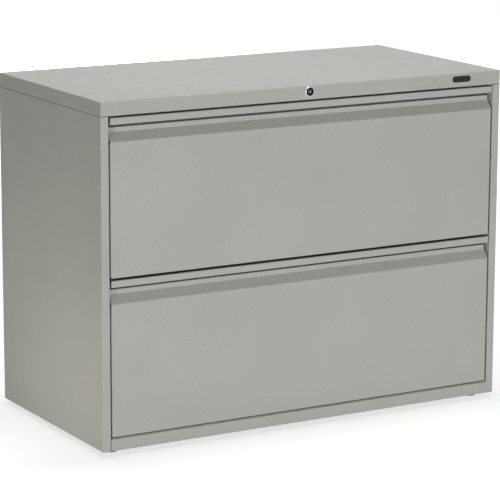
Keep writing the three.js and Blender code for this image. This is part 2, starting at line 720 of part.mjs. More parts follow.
function drawerSide(side) {
  const path = [
    [side * (BOX_HALF_WIDTH - BOX_FLANGE), BOX_FLOOR],
    [side * BOX_HALF_WIDTH, BOX_FLOOR],
    [side * BOX_HALF_WIDTH, BOX_TOP],
    [side * (BOX_HALF_WIDTH - BOX_FLANGE), BOX_TOP],
  ];
  const section = foldedSheet(side > 0 ? path : path.reverse(), DRAWER_SHEET);
  const wall = alongY(section, boxStart, boxEnd);
  if (side < 0) return wall;
  const catchY = FRONT + FRONT_UPRIGHT_START;
  const tab = boxBetween(
    [BOX_HALF_WIDTH - DRAWER_SHEET / 2, catchY, CATCH_LOW],
    [BOX_HALF_WIDTH + CATCH_REACH, catchY + CATCH_THICKNESS, CATCH_LOW + CATCH_HEIGHT],
  );
  return join(wall, [tab]);
}

const boxInside = BOX_HALF_WIDTH - DRAWER_SHEET - BEND_RADIUS;
const floorZ = BOX_FLOOR + DRAWER_SHEET + WELD_GAP;

function drawerBack() {
  const foot = floorZ + DRAWER_SHEET + WELD_GAP;
  const section = foldedSheet([
    [boxEnd - BOX_FLANGE, foot],
    [boxEnd, foot],
    [boxEnd, BOX_TOP - DRAWER_SHEET - WELD_GAP],
  ], DRAWER_SHEET);
  return alongX(section, -boxInside, boxInside);
}

function hangRail(faceY, inward) {
  const foot = BOX_TOP + WELD_GAP;
  const path = [
    [faceY + inward * HANG_RAIL_FOOT, foot],
    [faceY, foot],
    [faceY, foot + HANG_RAIL_HEIGHT],
  ];
  const section = foldedSheet(inward > 0 ? path.reverse() : path, HANG_RAIL_SHEET);
  return alongX(section, -boxInside, boxInside);
}

function drawer(name, drawerZ) {
  const group = new THREE.Group();
  group.position.z = drawerZ;
  piece(`${name}_drawer_front`, drawerFront(), PAINT, group);
  piece(`${name}_drawer_front_liner`, frontLiner(), PAINT, group);
  for (const [sideName, side] of SIDES) {
    piece(`${name}_drawer_side_${sideName}`, drawerSide(side), PAINT, group);
  }
  piece(`${name}_drawer_back`, drawerBack(), PAINT, group);
  piece(
    `${name}_drawer_bottom`,
    boxBetween([-boxInside, boxStart, floorZ], [boxInside, boxEnd, floorZ + DRAWER_SHEET]),
    PAINT,
    group,
  );
  piece(`${name}_hang_rail_front`, hangRail(boxStart + HANG_RAIL_INSET, 1), ZINC, group);
  piece(`${name}_hang_rail_rear`, hangRail(boxEnd - HANG_RAIL_INSET, -1), ZINC, group);
  return group;
}

for (const [name, drawerZ] of DRAWERS) {
  cabinet.add(slides(name, drawerZ), drawer(name, drawerZ));
}

export default cabinet;
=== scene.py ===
# %% [markdown]
# # A two-drawer lateral filing cabinet
# The cabinet is folded sheet steel with a grey powder coat. The construction comes from a fixed frame of
# solids, in metres, and this lesson gives it its looks: sheet pieces with true folds, a turned lock, feet
# and finishes.

# %% Load the fixed frame
import json
import math
import bmesh
import bpy
from mathutils import Matrix, Vector


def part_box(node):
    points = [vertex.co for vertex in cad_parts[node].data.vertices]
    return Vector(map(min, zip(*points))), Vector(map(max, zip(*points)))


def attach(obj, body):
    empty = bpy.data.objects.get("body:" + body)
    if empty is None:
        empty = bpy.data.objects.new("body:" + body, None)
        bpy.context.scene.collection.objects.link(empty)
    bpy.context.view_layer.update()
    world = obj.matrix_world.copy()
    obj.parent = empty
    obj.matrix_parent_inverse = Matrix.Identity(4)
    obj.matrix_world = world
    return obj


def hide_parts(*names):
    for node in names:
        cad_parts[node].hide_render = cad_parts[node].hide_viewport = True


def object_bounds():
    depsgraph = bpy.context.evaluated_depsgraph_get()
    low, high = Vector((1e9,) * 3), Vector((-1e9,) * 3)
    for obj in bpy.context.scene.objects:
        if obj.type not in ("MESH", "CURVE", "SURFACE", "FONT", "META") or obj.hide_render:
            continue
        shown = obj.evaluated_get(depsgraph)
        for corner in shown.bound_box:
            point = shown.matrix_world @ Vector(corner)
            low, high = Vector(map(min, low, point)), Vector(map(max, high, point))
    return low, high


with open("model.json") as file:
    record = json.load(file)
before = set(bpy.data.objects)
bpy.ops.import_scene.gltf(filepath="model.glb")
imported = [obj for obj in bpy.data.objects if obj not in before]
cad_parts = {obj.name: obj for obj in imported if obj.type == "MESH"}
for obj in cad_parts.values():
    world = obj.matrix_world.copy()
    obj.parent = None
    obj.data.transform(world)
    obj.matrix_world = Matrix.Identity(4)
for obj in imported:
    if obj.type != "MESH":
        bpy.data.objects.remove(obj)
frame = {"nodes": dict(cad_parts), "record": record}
cad_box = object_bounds()

# %% [markdown]
# ## Where things are
# Places and outer sizes come from each solid's own box, so a new piece goes exactly where the solid
# stands. Sheet thicknesses, bends and small details are named where they are first needed. The front of
# the cabinet looks along -Y, and Z is up.

# %% Places read from the frame
top_low, top_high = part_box("top_cap")
panel_low, panel_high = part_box("left_side_panel")
back_low, back_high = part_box("back_panel")
FRONT = top_low.y
HALF_WIDTH = top_high.x
STILE_EDGE = -panel_high.x
CASE_BOTTOM = panel_low.z
print("case is", round(2 * HALF_WIDTH, 4), "wide and", round(top_high.z - CASE_BOTTOM, 4), "high")

# %% [markdown]
# ## Camera
# The picture was taken with a long lens from the front left, a little above the top. The lens, the turn
# and the small roll were found by lining the cabinet's straight edges up with the picture's.

# %% Camera at the picture's angle
CAMERA_PLACE = (-2.5101, -4.3482, 1.3916)
CAMERA_AZIMUTH = math.radians(-29.977)
CAMERA_ELEVATION = math.radians(12.049)
CAMERA_ROLL = math.radians(0.201)
CAMERA_LENS = 178.9
CAMERA_SENSOR = 36.0
CAMERA_REACH = 60.0
camera_data = bpy.data.cameras.new("photo_camera")
camera_data.lens = CAMERA_LENS
camera_data.sensor_width = CAMERA_SENSOR
camera_data.clip_end = CAMERA_REACH
camera = bpy.data.objects.new("photo_camera", camera_data)
turn = Matrix.Rotation(CAMERA_AZIMUTH, 4, "Z")
tilt = Matrix.Rotation(math.pi / 2 - CAMERA_ELEVATION, 4, "X")
roll = Matrix.Rotation(CAMERA_ROLL, 4, "Z")
camera.matrix_world = Matrix.Translation(CAMERA_PLACE) @ turn @ tilt @ roll
bpy.context.scene.collection.objects.link(camera)
bpy.context.scene.camera = camera
bpy.context.scene.view_settings.view_transform = "Standard"
print("camera lens", CAMERA_LENS, "mm")

# %% [markdown]
# ## Light
# The top is the lightest face, the front is even, and the left side grows lighter down towards its front
# corner. So a broad soft light stands in front, a little to the right and no higher than the cabinet, one
# hangs straight above the top, one stands far off to the left, and a small card stands low beside the
# left corner. The two on the left are a little warm, as the left side is. Light from a steeper angle
# would fill the pulls' slopes, which are darker than the faces, and the gaps round the drawers. Two more
# lights stand where this camera sees nothing of them, for the right side and the back. The rear one is
# hidden from mirror rays, because it would glare along the sides when they are seen from a low angle.

# %% Soft studio lights
LIGHT_AIM = Vector((0.0, 0.0, 0.35))
CARD_AIM = Vector((-HALF_WIDTH, -0.13, 0.05))
CARD_DISTANCE = 0.5
CARD_PLACE = CARD_AIM - Vector((CARD_DISTANCE, 0.0, 0.0))
PLAIN = (1.0, 1.0, 1.0)
WARM = (1.0, 0.98, 0.93)


def soft_light(name, place, size, power, colour=PLAIN, aim=LIGHT_AIM):
    """A rectangular lamp, unseen by the camera itself."""
    data = bpy.data.lights.new(name, "AREA")
    data.shape = "RECTANGLE"
    data.size, data.size_y = size
    data.energy = power
    data.color = colour
    lamp = bpy.data.objects.new(name, data)
    place = Vector(place)
    heading = (aim - place).to_track_quat("-Z", "Y")
    lamp.matrix_world = Matrix.Translation(place) @ heading.to_matrix().to_4x4()
    lamp.visible_camera = False
    bpy.context.scene.collection.objects.link(lamp)
    return lamp


soft_light("front_light", place=(0.5, -5.2, 0.33), size=(2.4, 0.6), power=150.0)
soft_light("top_light", place=(0.0, 0.05, 3.2), size=(1.6, 0.7), power=64.0)
soft_light("left_light", place=(-6.0, -3.7, 0.35), size=(0.8, 0.6), power=150.0, colour=WARM)
soft_light("left_card", place=CARD_PLACE, size=(0.45, 0.12), power=1.0, colour=WARM, aim=CARD_AIM)
soft_light("right_light", place=(5.2, 1.2, 0.4), size=(2.2, 1.4), power=120.0)
rear_light = soft_light("rear_light", place=(1.4, 5.2, 0.33), size=(2.4, 0.6), power=130.0)
rear_light.visible_glossy = False

# %% [markdown]
# ## Room and floor
# The room is a pale even surround. Camera and mirror rays see it as white, while the light that it sheds
# on the cabinet stays low, so that the lamps alone shape its faces. The floor is white in the same way,
# and it still darkens where the cabinet shades it. Close to the cabinet it glows a little less than far
# off, or the shadow would be washed out.

# %% White surround
SURROUND_LIGHT = 0.02
WHITE = (1.0, 1.0, 1.0, 1.0)


def seen_directly(tree):
    """A value of 1 for camera, mirror and glass rays, and 0 for the rays that light things."""
    path = tree.nodes.new("ShaderNodeLightPath")
    seen = path.outputs["Is Camera Ray"]
    for ray in ("Is Glossy Ray", "Is Transmission Ray"):
        larger = tree.nodes.new("ShaderNodeMath")
        larger.operation = "MAXIMUM"
        tree.links.new(seen, larger.inputs[0])
        tree.links.new(path.outputs[ray], larger.inputs[1])
        seen = larger.outputs[0]
    return seen


world = bpy.data.worlds.new("pale_surround")
world.use_nodes = True
bpy.context.scene.world = world
surround = world.node_tree.nodes["Background"]
surround.inputs["Color"].default_value = WHITE
strength = world.node_tree.nodes.new("ShaderNodeMapRange")
strength.inputs["To Min"].default_value = SURROUND_LIGHT
strength.inputs["To Max"].default_value = 1.0
world.node_tree.links.new(seen_directly(world.node_tree), strength.inputs["Value"])
world.node_tree.links.new(strength.outputs["Result"], surround.inputs["Strength"])
print("surround sheds", SURROUND_LIGHT, "of the white that the camera sees")

# %% White floor
FLOOR_SIZE = 24.0
FLOOR_GREY = (0.5, 0.5, 0.5, 1.0)
FLOOR_ROUGHNESS = 0.9
GLOW_NEAR = 0.7
GLOW_FAR = 1.0
GLOW_GROWS_FROM = 0.9
GLOW_GROWS_TO = 2.6
bpy.ops.object.select_all(action="DESELECT")
bpy.ops.mesh.primitive_plane_add(size=FLOOR_SIZE, location=(0.0, 0.0, cad_box[0][2]))
floor = bpy.context.active_object
floor.name = "floor"
bpy.ops.object.transform_apply(location=True, rotation=True, scale=True)
floor_paint = bpy.data.materials.new("floor_paint")
floor_paint.use_nodes = True
floor_tree = floor_paint.node_tree
floor_shader = floor_tree.nodes["Principled BSDF"]
floor_shader.inputs["Base Color"].default_value = FLOOR_GREY
floor_shader.inputs["Roughness"].default_value = FLOOR_ROUGHNESS
floor_shader.inputs["Specular IOR Level"].default_value = 0.0
floor_shader.inputs["Emission Color"].default_value = WHITE
floor_place = floor_tree.nodes.new("ShaderNodeTexCoord")
floor_distance = floor_tree.nodes.new("ShaderNodeVectorMath")
floor_distance.operation = "LENGTH"
floor_glow = floor_tree.nodes.new("ShaderNodeMapRange")
floor_glow.inputs["From Min"].default_value = GLOW_GROWS_FROM
floor_glow.inputs["From Max"].default_value = GLOW_GROWS_TO
floor_glow.inputs["To Min"].default_value = GLOW_NEAR
floor_glow.inputs["To Max"].default_value = GLOW_FAR
floor_white = floor_tree.nodes.new("ShaderNodeMath")
floor_white.operation = "MULTIPLY"
floor_tree.links.new(floor_place.outputs["Object"], floor_distance.inputs[0])
floor_tree.links.new(floor_distance.outputs["Value"], floor_glow.inputs["Value"])
floor_tree.links.new(floor_glow.outputs["Result"], floor_white.inputs[0])
floor_tree.links.new(seen_directly(floor_tree), floor_white.inputs[1])
floor_tree.links.new(floor_white.outputs["Value"], floor_shader.inputs["Emission Strength"])
floor.data.materials.append(floor_paint)
print("floor of", FLOOR_SIZE, "m")

# %% [markdown]
# ## Finishes
# Five finishes cover the cabinet: grey powder coat, zinc plate, bare hot-rolled steel, bright chrome and
# black gloss plastic. Each one is drawn by noise in the piece's own space, so it stays put when a drawer
# opens. A powder coat melts into a skin with a fine orange-peel ripple, and zinc has a faint drawn grain.

# %% Helpers for finishes
NOISE_LOW = 0.3
NOISE_HIGH = 0.7


def fresh_finish(name):
    """A new node material, with its tree and its shader."""
    material = bpy.data.materials.new(name)
    material.use_nodes = True
    tree = material.node_tree
    return material, tree, tree.nodes["Principled BSDF"]


def noise_at(tree, scale, detail, stretch=(1.0, 1.0, 1.0)):
    """Noise in the piece's own coordinates. A larger scale gives a finer noise."""
    place = tree.nodes.new("ShaderNodeTexCoord")
    mapping = tree.nodes.new("ShaderNodeMapping")
    mapping.inputs["Scale"].default_value = stretch
    noise = tree.nodes.new("ShaderNodeTexNoise")
    noise.inputs["Scale"].default_value = scale
    noise.inputs["Detail"].default_value = detail
    tree.links.new(place.outputs["Object"], mapping.inputs["Vector"])
    tree.links.new(mapping.outputs["Vector"], noise.inputs["Vector"])
    return noise.outputs["Fac"]


def spread(tree, value, low, high):
    """The noise's middle range, stretched out between two values."""
    reach = tree.nodes.new("ShaderNodeMapRange")
    reach.inputs["From Min"].default_value = NOISE_LOW
    reach.inputs["From Max"].default_value = NOISE_HIGH
    reach.inputs["To Min"].default_value = low
    reach.inputs["To Max"].default_value = high
    tree.links.new(value, reach.inputs["Value"])
    return reach.outputs["Result"]


def shade_between(tree, value, dark, light):
    """A colour between two, chosen by a value from 0 to 1."""
    mix = tree.nodes.new("ShaderNodeMix")
    mix.data_type = "RGBA"
    mix.inputs["A"].default_value = (*dark, 1.0)
    mix.inputs["B"].default_value = (*light, 1.0)
    tree.links.new(value, mix.inputs["Factor"])
    return mix.outputs["Result"]


def ripple(tree, shader, height, distance, strength):
    """Bump of a given real depth."""
    bump = tree.nodes.new("ShaderNodeBump")
    bump.inputs["Distance"].default_value = distance
    bump.inputs["Strength"].default_value = strength
    tree.links.new(height, bump.inputs["Height"])
    tree.links.new(bump.outputs["Normal"], shader.inputs["Normal"])


# %% Grey powder coat
COAT = (0.41, 0.415, 0.385)
# The painted shade's coat is the grey darkened to this share.
PAINTED_SHADE_TONE = 0.18
CLOUD_SHARE = 0.25


def tone(colour, factor):
    """The same colour, lighter or darker."""
    return tuple(channel * factor for channel in colour)


def powder_coat(name, colour):
    """Powder coat: broad slight cloudiness, fine speckle, orange-peel ripple and a soft half gloss."""
    material, tree, shader = fresh_finish(name)
    cloud = spread(tree, noise_at(tree, scale=5.0, detail=3.0), low=0.0, high=CLOUD_SHARE)
    speckle = spread(tree, noise_at(tree, scale=330.0, detail=2.0), low=0.0, high=1.0 - CLOUD_SHARE)
    both = tree.nodes.new("ShaderNodeMath")
    both.operation = "ADD"
    tree.links.new(cloud, both.inputs[0])
    tree.links.new(speckle, both.inputs[1])
    grey = shade_between(tree, both.outputs["Value"], dark=tone(colour, 0.9), light=tone(colour, 1.09))
    sheen = spread(tree, noise_at(tree, scale=60.0, detail=3.0), low=0.48, high=0.58)
    tree.links.new(grey, shader.inputs["Base Color"])
    tree.links.new(sheen, shader.inputs["Roughness"])
    shader.inputs["Specular IOR Level"].default_value = 0.22
    ripple(tree, shader, noise_at(tree, scale=520.0, detail=3.0), distance=0.0003, strength=0.12)
    return material


grey_coat = powder_coat("grey_powder_coat", COAT)
# A much darker copy of the coat is painted shade, for the pulls' hollows and the drawers' bottom returns.
painted_shade_coat = powder_coat("dark_coat_painted_shade", tone(COAT, PAINTED_SHADE_TONE))
print("coats:", grey_coat.name, "and", painted_shade_coat.name)

# %% Zinc plate and bare steel
ZINC = (0.47, 0.49, 0.5)
# The darkened zinc is painted shade: far darker than zinc's own tone, for the glides under the base and the
# lock's linkage in the gap.
SHADE_DARKENED_ZINC = (0.11, 0.11, 0.105)
MILL_SCALE = (0.045, 0.043, 0.042)
RUSTY_BROWN = (0.11, 0.09, 0.075)
GRAIN_STRETCH = 0.03


def zinc_plate(name, colour, roughness, stretch):
    """Zinc plate: blue-grey metal with a grain drawn along the piece."""
    material, tree, shader = fresh_finish(name)
    grain = noise_at(tree, scale=240.0, detail=4.0, stretch=stretch)
    patch = spread(tree, noise_at(tree, scale=35.0, detail=3.0), low=0.0, high=1.0)
    metal = shade_between(tree, patch, dark=tone(colour, 0.9), light=tone(colour, 1.1))
    blur = spread(tree, grain, low=roughness, high=roughness + 0.16)
    tree.links.new(metal, shader.inputs["Base Color"])
    tree.links.new(blur, shader.inputs["Roughness"])
    shader.inputs["Metallic"].default_value = 1.0
    ripple(tree, shader, grain, distance=0.0002, strength=0.1)
    return material


def bare_ballast(name):
    """Hot-rolled bar: dark mill scale with rusty brown patches."""
    material, tree, shader = fresh_finish(name)
    rust = spread(tree, noise_at(tree, scale=18.0, detail=6.0), low=0.0, high=1.0)
    skin = shade_between(tree, rust, dark=MILL_SCALE, light=RUSTY_BROWN)
    blur = spread(tree, noise_at(tree, scale=70.0, detail=4.0), low=0.55, high=0.8)
    tree.links.new(skin, shader.inputs["Base Color"])
    tree.links.new(blur, shader.inputs["Roughness"])
    shader.inputs["Metallic"].default_value = 0.6
    ripple(tree, shader, noise_at(tree, scale=160.0, detail=5.0), distance=0.0006, strength=0.4)
    return material


zinc_along_y = zinc_plate("zinc_drawn_lengthwise", ZINC, roughness=0.3, stretch=(1.0, GRAIN_STRETCH, 1.0))
zinc_along_x = zinc_plate("zinc_drawn_crosswise", ZINC, roughness=0.3, stretch=(GRAIN_STRETCH, 1.0, 1.0))
zinc_upright = zinc_plate("zinc_drawn_upright", ZINC, roughness=0.3, stretch=(1.0, 1.0, GRAIN_STRETCH))
# Painted shade: zinc darkened for the glides and the lock's linkage.
zinc_painted_shade = zinc_plate("zinc_painted_shade", SHADE_DARKENED_ZINC, roughness=0.5, stretch=(1.0, 1.0, 1.0))
ballast_steel = bare_ballast("hot_rolled_ballast")
print("zinc and steel:", [m.name for m in bpy.data.materials if m.name.startswith(("zinc", "hot"))])

# %% Chrome and black plastic
BRIGHT_CHROME = (0.88, 0.88, 0.87)
# The two darker chromes below are painted dark reflections: chrome darkened as though it mirrored a dark
# room.
PAINTED_DIM_REFLECTION = (0.075, 0.075, 0.077)
PAINTED_DARK_REFLECTION = (0.006, 0.006, 0.006)
BLACK = (0.008, 0.0075, 0.007)


def chrome_plate(name, colour, roughness):
    """Chrome plate: a mirror with faint polishing haze, blurred where the plating is thin."""
    material, tree, shader = fresh_finish(name)
    haze = spread(tree, noise_at(tree, scale=300.0, detail=3.0), low=0.0, high=1.0)
    metal = shade_between(tree, haze, dark=tone(colour, 0.9), light=tone(colour, 1.1))
    blur = spread(tree, noise_at(tree, scale=900.0, detail=3.0), low=roughness, high=roughness + 0.1)
    tree.links.new(metal, shader.inputs["Base Color"])
    tree.links.new(blur, shader.inputs["Roughness"])
    shader.inputs["Metallic"].default_value = 1.0
    return material


def gloss_plastic(name, colour):
    """Gloss plastic with a trace of moulding haze."""
    material, tree, shader = fresh_finish(name)
    haze = spread(tree, noise_at(tree, scale=220.0, detail=3.0), low=0.0, high=1.0)
    skin = shade_between(tree, haze, dark=tone(colour, 0.85), light=tone(colour, 1.25))
    blur = spread(tree, noise_at(tree, scale=500.0, detail=2.0), low=0.3, high=0.42)
    tree.links.new(skin, shader.inputs["Base Color"])
    tree.links.new(blur, shader.inputs["Roughness"])
    shader.inputs["Specular IOR Level"].default_value = 0.2
    ripple(tree, shader, noise_at(tree, scale=800.0, detail=2.0), distance=0.0001, strength=0.1)
    return material


rim_chrome = chrome_plate("rim_chrome", BRIGHT_CHROME, roughness=0.06)
# Painted dark reflections: the two darkened chromes for the lock's crown and plug.
chrome_painted_dark_reflection = chrome_plate("chrome_painted_dark_reflection", PAINTED_DARK_REFLECTION, roughness=0.3)
plug_chrome_painted_dim_reflection = chrome_plate("plug_chrome_painted_dim_reflection", PAINTED_DIM_REFLECTION, roughness=0.38)
plate_black = gloss_plastic("black_gloss_plate", BLACK)
print("finishes:", len(bpy.data.materials))

# %% [markdown]
# ## Folding sheet steel
# A press brake folds flat sheet along straight lines. The same can be done by hand in Blender: a plane is
# the first flat, its edge is extruded once for every next flat, and each fold line is bevelled to the
# bend's radius. Then Solidify gives the sheet its thickness. An extruded curve would be shorter, but its
# folds can't be picked and changed one by one.

# %% Helpers for picking by place
NEAR = 0.00002


def near(point, **places):
    """True where a point has these coordinates."""
    return all(abs(getattr(point, axis) - value) < NEAR for axis, value in places.items())


def pick(piece, kind, wanted):
    """In edit mode, selects only the vertices, edges or faces that pass the test."""
    bpy.ops.mesh.select_mode(type=kind)
    bpy.ops.mesh.select_all(action="DESELECT")
    mesh = bmesh.from_edit_mesh(piece.data)
    parts = {"VERT": mesh.verts, "EDGE": mesh.edges, "FACE": mesh.faces}[kind]
    found = [part for part in parts if wanted(part)]
    if not found:
        raise ValueError(f"nothing to pick on {piece.name}")
    for part in found:
        part.select_set(True)
    mesh.select_flush_mode()
    bmesh.update_edit_mesh(piece.data)
    return len(found)


def pick_edges(piece, **places):
    """Selects the edges that lie wholly at these coordinates."""
    pick(piece, "EDGE", lambda edge: all(near(v.co, **places) for v in edge.verts))


# %% Helpers that start a piece and round its edges
BEND_SEGMENTS = 5


def begin(name, size=(1.0, 1.0, 1.0)):
    """Names and sizes the primitive that was just added, and puts its place and size in its mesh."""
    piece = bpy.context.active_object
    piece.name = name
    piece.data.name = name
    piece.scale = size
    bpy.ops.object.transform_apply(location=True, rotation=True, scale=True)
    return piece


def add_box(name, centre, size):
    """A box with its middle at a place."""
    bpy.ops.object.select_all(action="DESELECT")
    bpy.ops.mesh.primitive_cube_add(size=1.0, location=centre)
    return begin(name, size)


def add_rod(name, centre, radius, length, points, rotation=(0.0, 0.0, 0.0)):
    """A straight rod with its middle at a place, upright unless it is turned."""
    bpy.ops.object.select_all(action="DESELECT")
    bpy.ops.mesh.primitive_cylinder_add(
        vertices=points, radius=radius, depth=length, location=centre, rotation=rotation
    )
    return begin(name)


def round_picked(radius, segments=BEND_SEGMENTS):
    """In edit mode, rounds the edges that are picked."""
    bpy.ops.mesh.bevel(offset=radius, offset_type="OFFSET", segments=segments, affect="EDGES")


def make_active(piece):
    """Selects just this piece, as the active one."""
    bpy.ops.object.select_all(action="DESELECT")
    piece.select_set(True)
    bpy.context.view_layer.objects.active = piece


# %% Helper that folds a sheet
# For each axis that a sheet can run along: its direction, and the two axes of its section.
RUNS = {
    "X": (Vector((1.0, 0.0, 0.0)), ("y", "z")),
    "Y": (Vector((0.0, -1.0, 0.0)), ("x", "z")),
    "Z": (Vector((0.0, 0.0, 1.0)), ("x", "y")),
}


def fold_sheet(name, run, start, end, path, bends):
    """A bare sheet whose section is a path of flats, drawn out along one axis.

    The sheet's thickness, given later, lies on the path's left. bends holds each fold's tangent length."""
    direction, axes = RUNS[run]
    middle = (start + end) / 2

    def place(u, v):
        spot = dict(zip((*axes, run.lower()), (u, v, middle)))
        return Vector((spot["x"], spot["y"], spot["z"]))

    first, second = place(*path[0]), place(*path[1])
    flat = second - first
    heading = flat.normalized()
    facing = Matrix((direction, heading, direction.cross(heading))).transposed()
    bpy.ops.object.select_all(action="DESELECT")
    bpy.ops.mesh.primitive_plane_add(size=1.0, location=(first + second) / 2, rotation=facing.to_euler())
    piece = begin(name, (abs(end - start), flat.length, 1.0))
    bpy.ops.object.mode_set(mode="EDIT")
    pick_edges(piece, **dict(zip(axes, path[1])))
    for before, after in zip(path[1:], path[2:]):
        step = place(*after) - place(*before)
        bpy.ops.mesh.extrude_edges_move(TRANSFORM_OT_translate={"value": step})
    for corner, bend in zip(path[1:-1], bends):
        pick_edges(piece, **dict(zip(axes, corner)))
        round_picked(bend)
    bpy.ops.object.mode_set(mode="OBJECT")
    return piece


# %% Helpers that work with modifiers
SHARP_ANGLE = math.radians(50)
SOFT_SEGMENTS = 2


def apply_modifier(piece, kind, **settings):
    """Adds a modifier with its settings and applies it."""
    make_active(piece)
    modifier = piece.modifiers.new(kind.lower(), kind)
    for setting, value in settings.items():
        setattr(modifier, setting, value)
    bpy.ops.object.modifier_apply(modifier=modifier.name)


def thicken(piece, thickness, side=1.0):
    """Gives a bare sheet its thickness, towards its faces' normals (1) or away from them (-1)."""
    apply_modifier(piece, "SOLIDIFY", thickness=thickness, offset=side, use_even_offset=True)


def soften(piece, width):
    """Rounds a piece's sharp edges a little, as paint and a deburring wheel do."""
    apply_modifier(
        piece,
        "BEVEL",
        width=width,
        segments=SOFT_SEGMENTS,
        limit_method="ANGLE",
        angle_limit=SHARP_ANGLE,
    )


def cut_away(piece, cutter):
    """Cuts one shape out of a piece, and removes the cutter."""
    apply_modifier(piece, "BOOLEAN", operation="DIFFERENCE", solver="EXACT", object=cutter)
    bpy.data.objects.remove(cutter)


def repeat(piece, count, step):
    """Repeats a piece at even steps with an Array modifier."""
    apply_modifier(
        piece,
        "ARRAY",
        count=count,
        use_relative_offset=False,
        use_constant_offset=True,
        constant_offset_displace=step,
    )


# %% Helpers that copy a piece and put it in place
SMOOTH_ANGLE = math.radians(32)


def copy_of(piece, name, shift=(0.0, 0.0, 0.0), mirrored=False):
    """A copy with a mesh of its own, moved, or turned into its mirror image about the cabinet's middle."""
    make_active(piece)
    bpy.ops.object.duplicate(linked=False)
    twin = bpy.context.active_object
    twin.name = name
    twin.data.name = name
    bpy.ops.object.mode_set(mode="EDIT")
    bpy.ops.mesh.select_all(action="SELECT")
    bpy.ops.transform.translate(value=shift)
    if mirrored:
        bpy.ops.transform.resize(value=(-1.0, 1.0, 1.0), center_override=(0.0, 0.0, 0.0))
        bpy.ops.mesh.normals_make_consistent(inside=False)
    bpy.ops.object.mode_set(mode="OBJECT")
    return twin


def hand_over(piece, finish, body, slot, *nodes):
    """Gives a piece its finish and puts it in its solids' place.

    Bends are shaded smooth, and weighted normals keep the flats flat."""
    make_active(piece)
    bpy.ops.object.shade_smooth_by_angle(angle=SMOOTH_ANGLE)
    apply_modifier(piece, "WEIGHTED_NORMAL", keep_sharp=True)
    piece.data.materials.append(finish)
    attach(piece, body)
    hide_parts(*nodes)
    print(piece.name, len(piece.data.polygons), "faces")


def recoat(piece, finish, wanted):
    """Gives the faces that pass the test a second finish."""
    make_active(piece)
    piece.data.materials.append(finish)
    piece.active_material_index = len(piece.data.materials) - 1
    bpy.ops.object.mode_set(mode="EDIT")
    count = pick(piece, "FACE", wanted)
    bpy.ops.object.material_slot_assign()
    bpy.ops.object.mode_set(mode="OBJECT")
    print(finish.name, "on", count, "faces of", piece.name)


# %% [markdown]
# ## Top
# The top is one sheet with a skirt folded down all round, welded and ground at its corners, so its
# corners are rounded like its long edges. A box with its underside taken off is the shortest way there.
# Its front edge gets a return flange, and a round hole takes the lock's barrel.

# %% Top with its skirt
SHEET = 0.001
TOP_EDGE_RADIUS = 0.0015
TOP_RETURN = 0.0135
TOP_RETURN_BEND = 0.0015
SEAM_ROUND = 0.0004
FACING_DOWN = -0.9
CUTTER_DEPTH = 0.01
lock_low, lock_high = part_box("lock_housing")
LOCK_PLACE = Vector((0.0, FRONT, (lock_low.z + lock_high.z) / 2))
LOCK_HOLE_RADIUS = 0.00855
LOCK_HOLE_POINTS = 48
ALONG_Y = (math.pi / 2, 0.0, 0.0)

top = add_box("top_skin", (top_low + top_high) / 2, top_high - top_low)
bpy.ops.object.mode_set(mode="EDIT")
pick(top, "FACE", lambda face: face.normal.z < FACING_DOWN)
bpy.ops.mesh.delete(type="FACE")
pick(top, "EDGE", lambda edge: any(near(v.co, z=top_high.z) for v in edge.verts))
round_picked(TOP_EDGE_RADIUS)
pick_edges(top, y=FRONT, z=top_low.z)
bpy.ops.mesh.extrude_edges_move(TRANSFORM_OT_translate={"value": (0.0, TOP_RETURN, 0.0)})
pick_edges(top, y=FRONT, z=top_low.z)
round_picked(TOP_RETURN_BEND)
bpy.ops.object.mode_set(mode="OBJECT")
thicken(top, SHEET, side=-1.0)
lock_hole = add_rod(
    "lock_hole", LOCK_PLACE, LOCK_HOLE_RADIUS, CUTTER_DEPTH, LOCK_HOLE_POINTS, rotation=ALONG_Y
)
cut_away(top, lock_hole)
soften(top, SEAM_ROUND)
hand_over(top, grey_coat, "case", "paint", "top_cap")

# %% [markdown]
# ## Sides
# Each side is one sheet: a rear flange, the wide side, a narrow stile folded round to the front, and a
# return that runs back inside. Folding it as one path gives the corner between side and stile its round
# bend, which two flat boxes would not have. The right side is the left one's mirror image.

# %% Side sheets with their stiles
REAR_FLANGE = 0.016
STILE_RETURN = 0.026
OUTER_BEND = 0.0021

path = [
    (REAR_FLANGE - HALF_WIDTH, panel_high.y),
    (-HALF_WIDTH, panel_high.y),
    (-HALF_WIDTH, FRONT),
    (-STILE_EDGE, FRONT),
    (-STILE_EDGE, FRONT + STILE_RETURN),
]
panel_top = panel_high.z - SEAM_ROUND
left_sheet = fold_sheet("left_side_sheet", "Z", panel_low.z, panel_top, path, [OUTER_BEND] * 3)
thicken(left_sheet, SHEET)
soften(left_sheet, SEAM_ROUND)
right_sheet = copy_of(left_sheet, "right_side_sheet", mirrored=True)
hand_over(left_sheet, grey_coat, "case", "paint", "left_side_panel")
hand_over(right_sheet, grey_coat, "case", "paint", "right_side_panel")

# %% [markdown]
# ## Base rails
# A base rail is a channel: a foot flange that the levelling glides screw into, a low front, and a flange
# on top under the bottom pan. Each has two hexagonal weld nuts standing on the foot. A six-sided cylinder
# with a bore cut through it makes a nut. It is made once, copied, and joined to the rail, because the
# real one is welded on for good.

# %% One weld nut
NUT_SIDES = 6
NUT_RADIUS = 0.008
NUT_HEIGHT = 0.008
NUT_CHAMFER = 0.0006
NUT_BORE = 0.00435
NUT_BORE_CUT = 4 * NUT_HEIGHT
NUT_BORE_POINTS = 24
nut_middle = Vector((0.0, 0.0, NUT_HEIGHT / 2))
first_nut = add_rod("weld_nut", nut_middle, NUT_RADIUS, NUT_HEIGHT, NUT_SIDES)
soften(first_nut, NUT_CHAMFER)
cut_away(first_nut, add_rod("nut_bore", nut_middle, NUT_BORE, NUT_BORE_CUT, NUT_BORE_POINTS))
print(first_nut.name, len(first_nut.data.polygons), "faces")

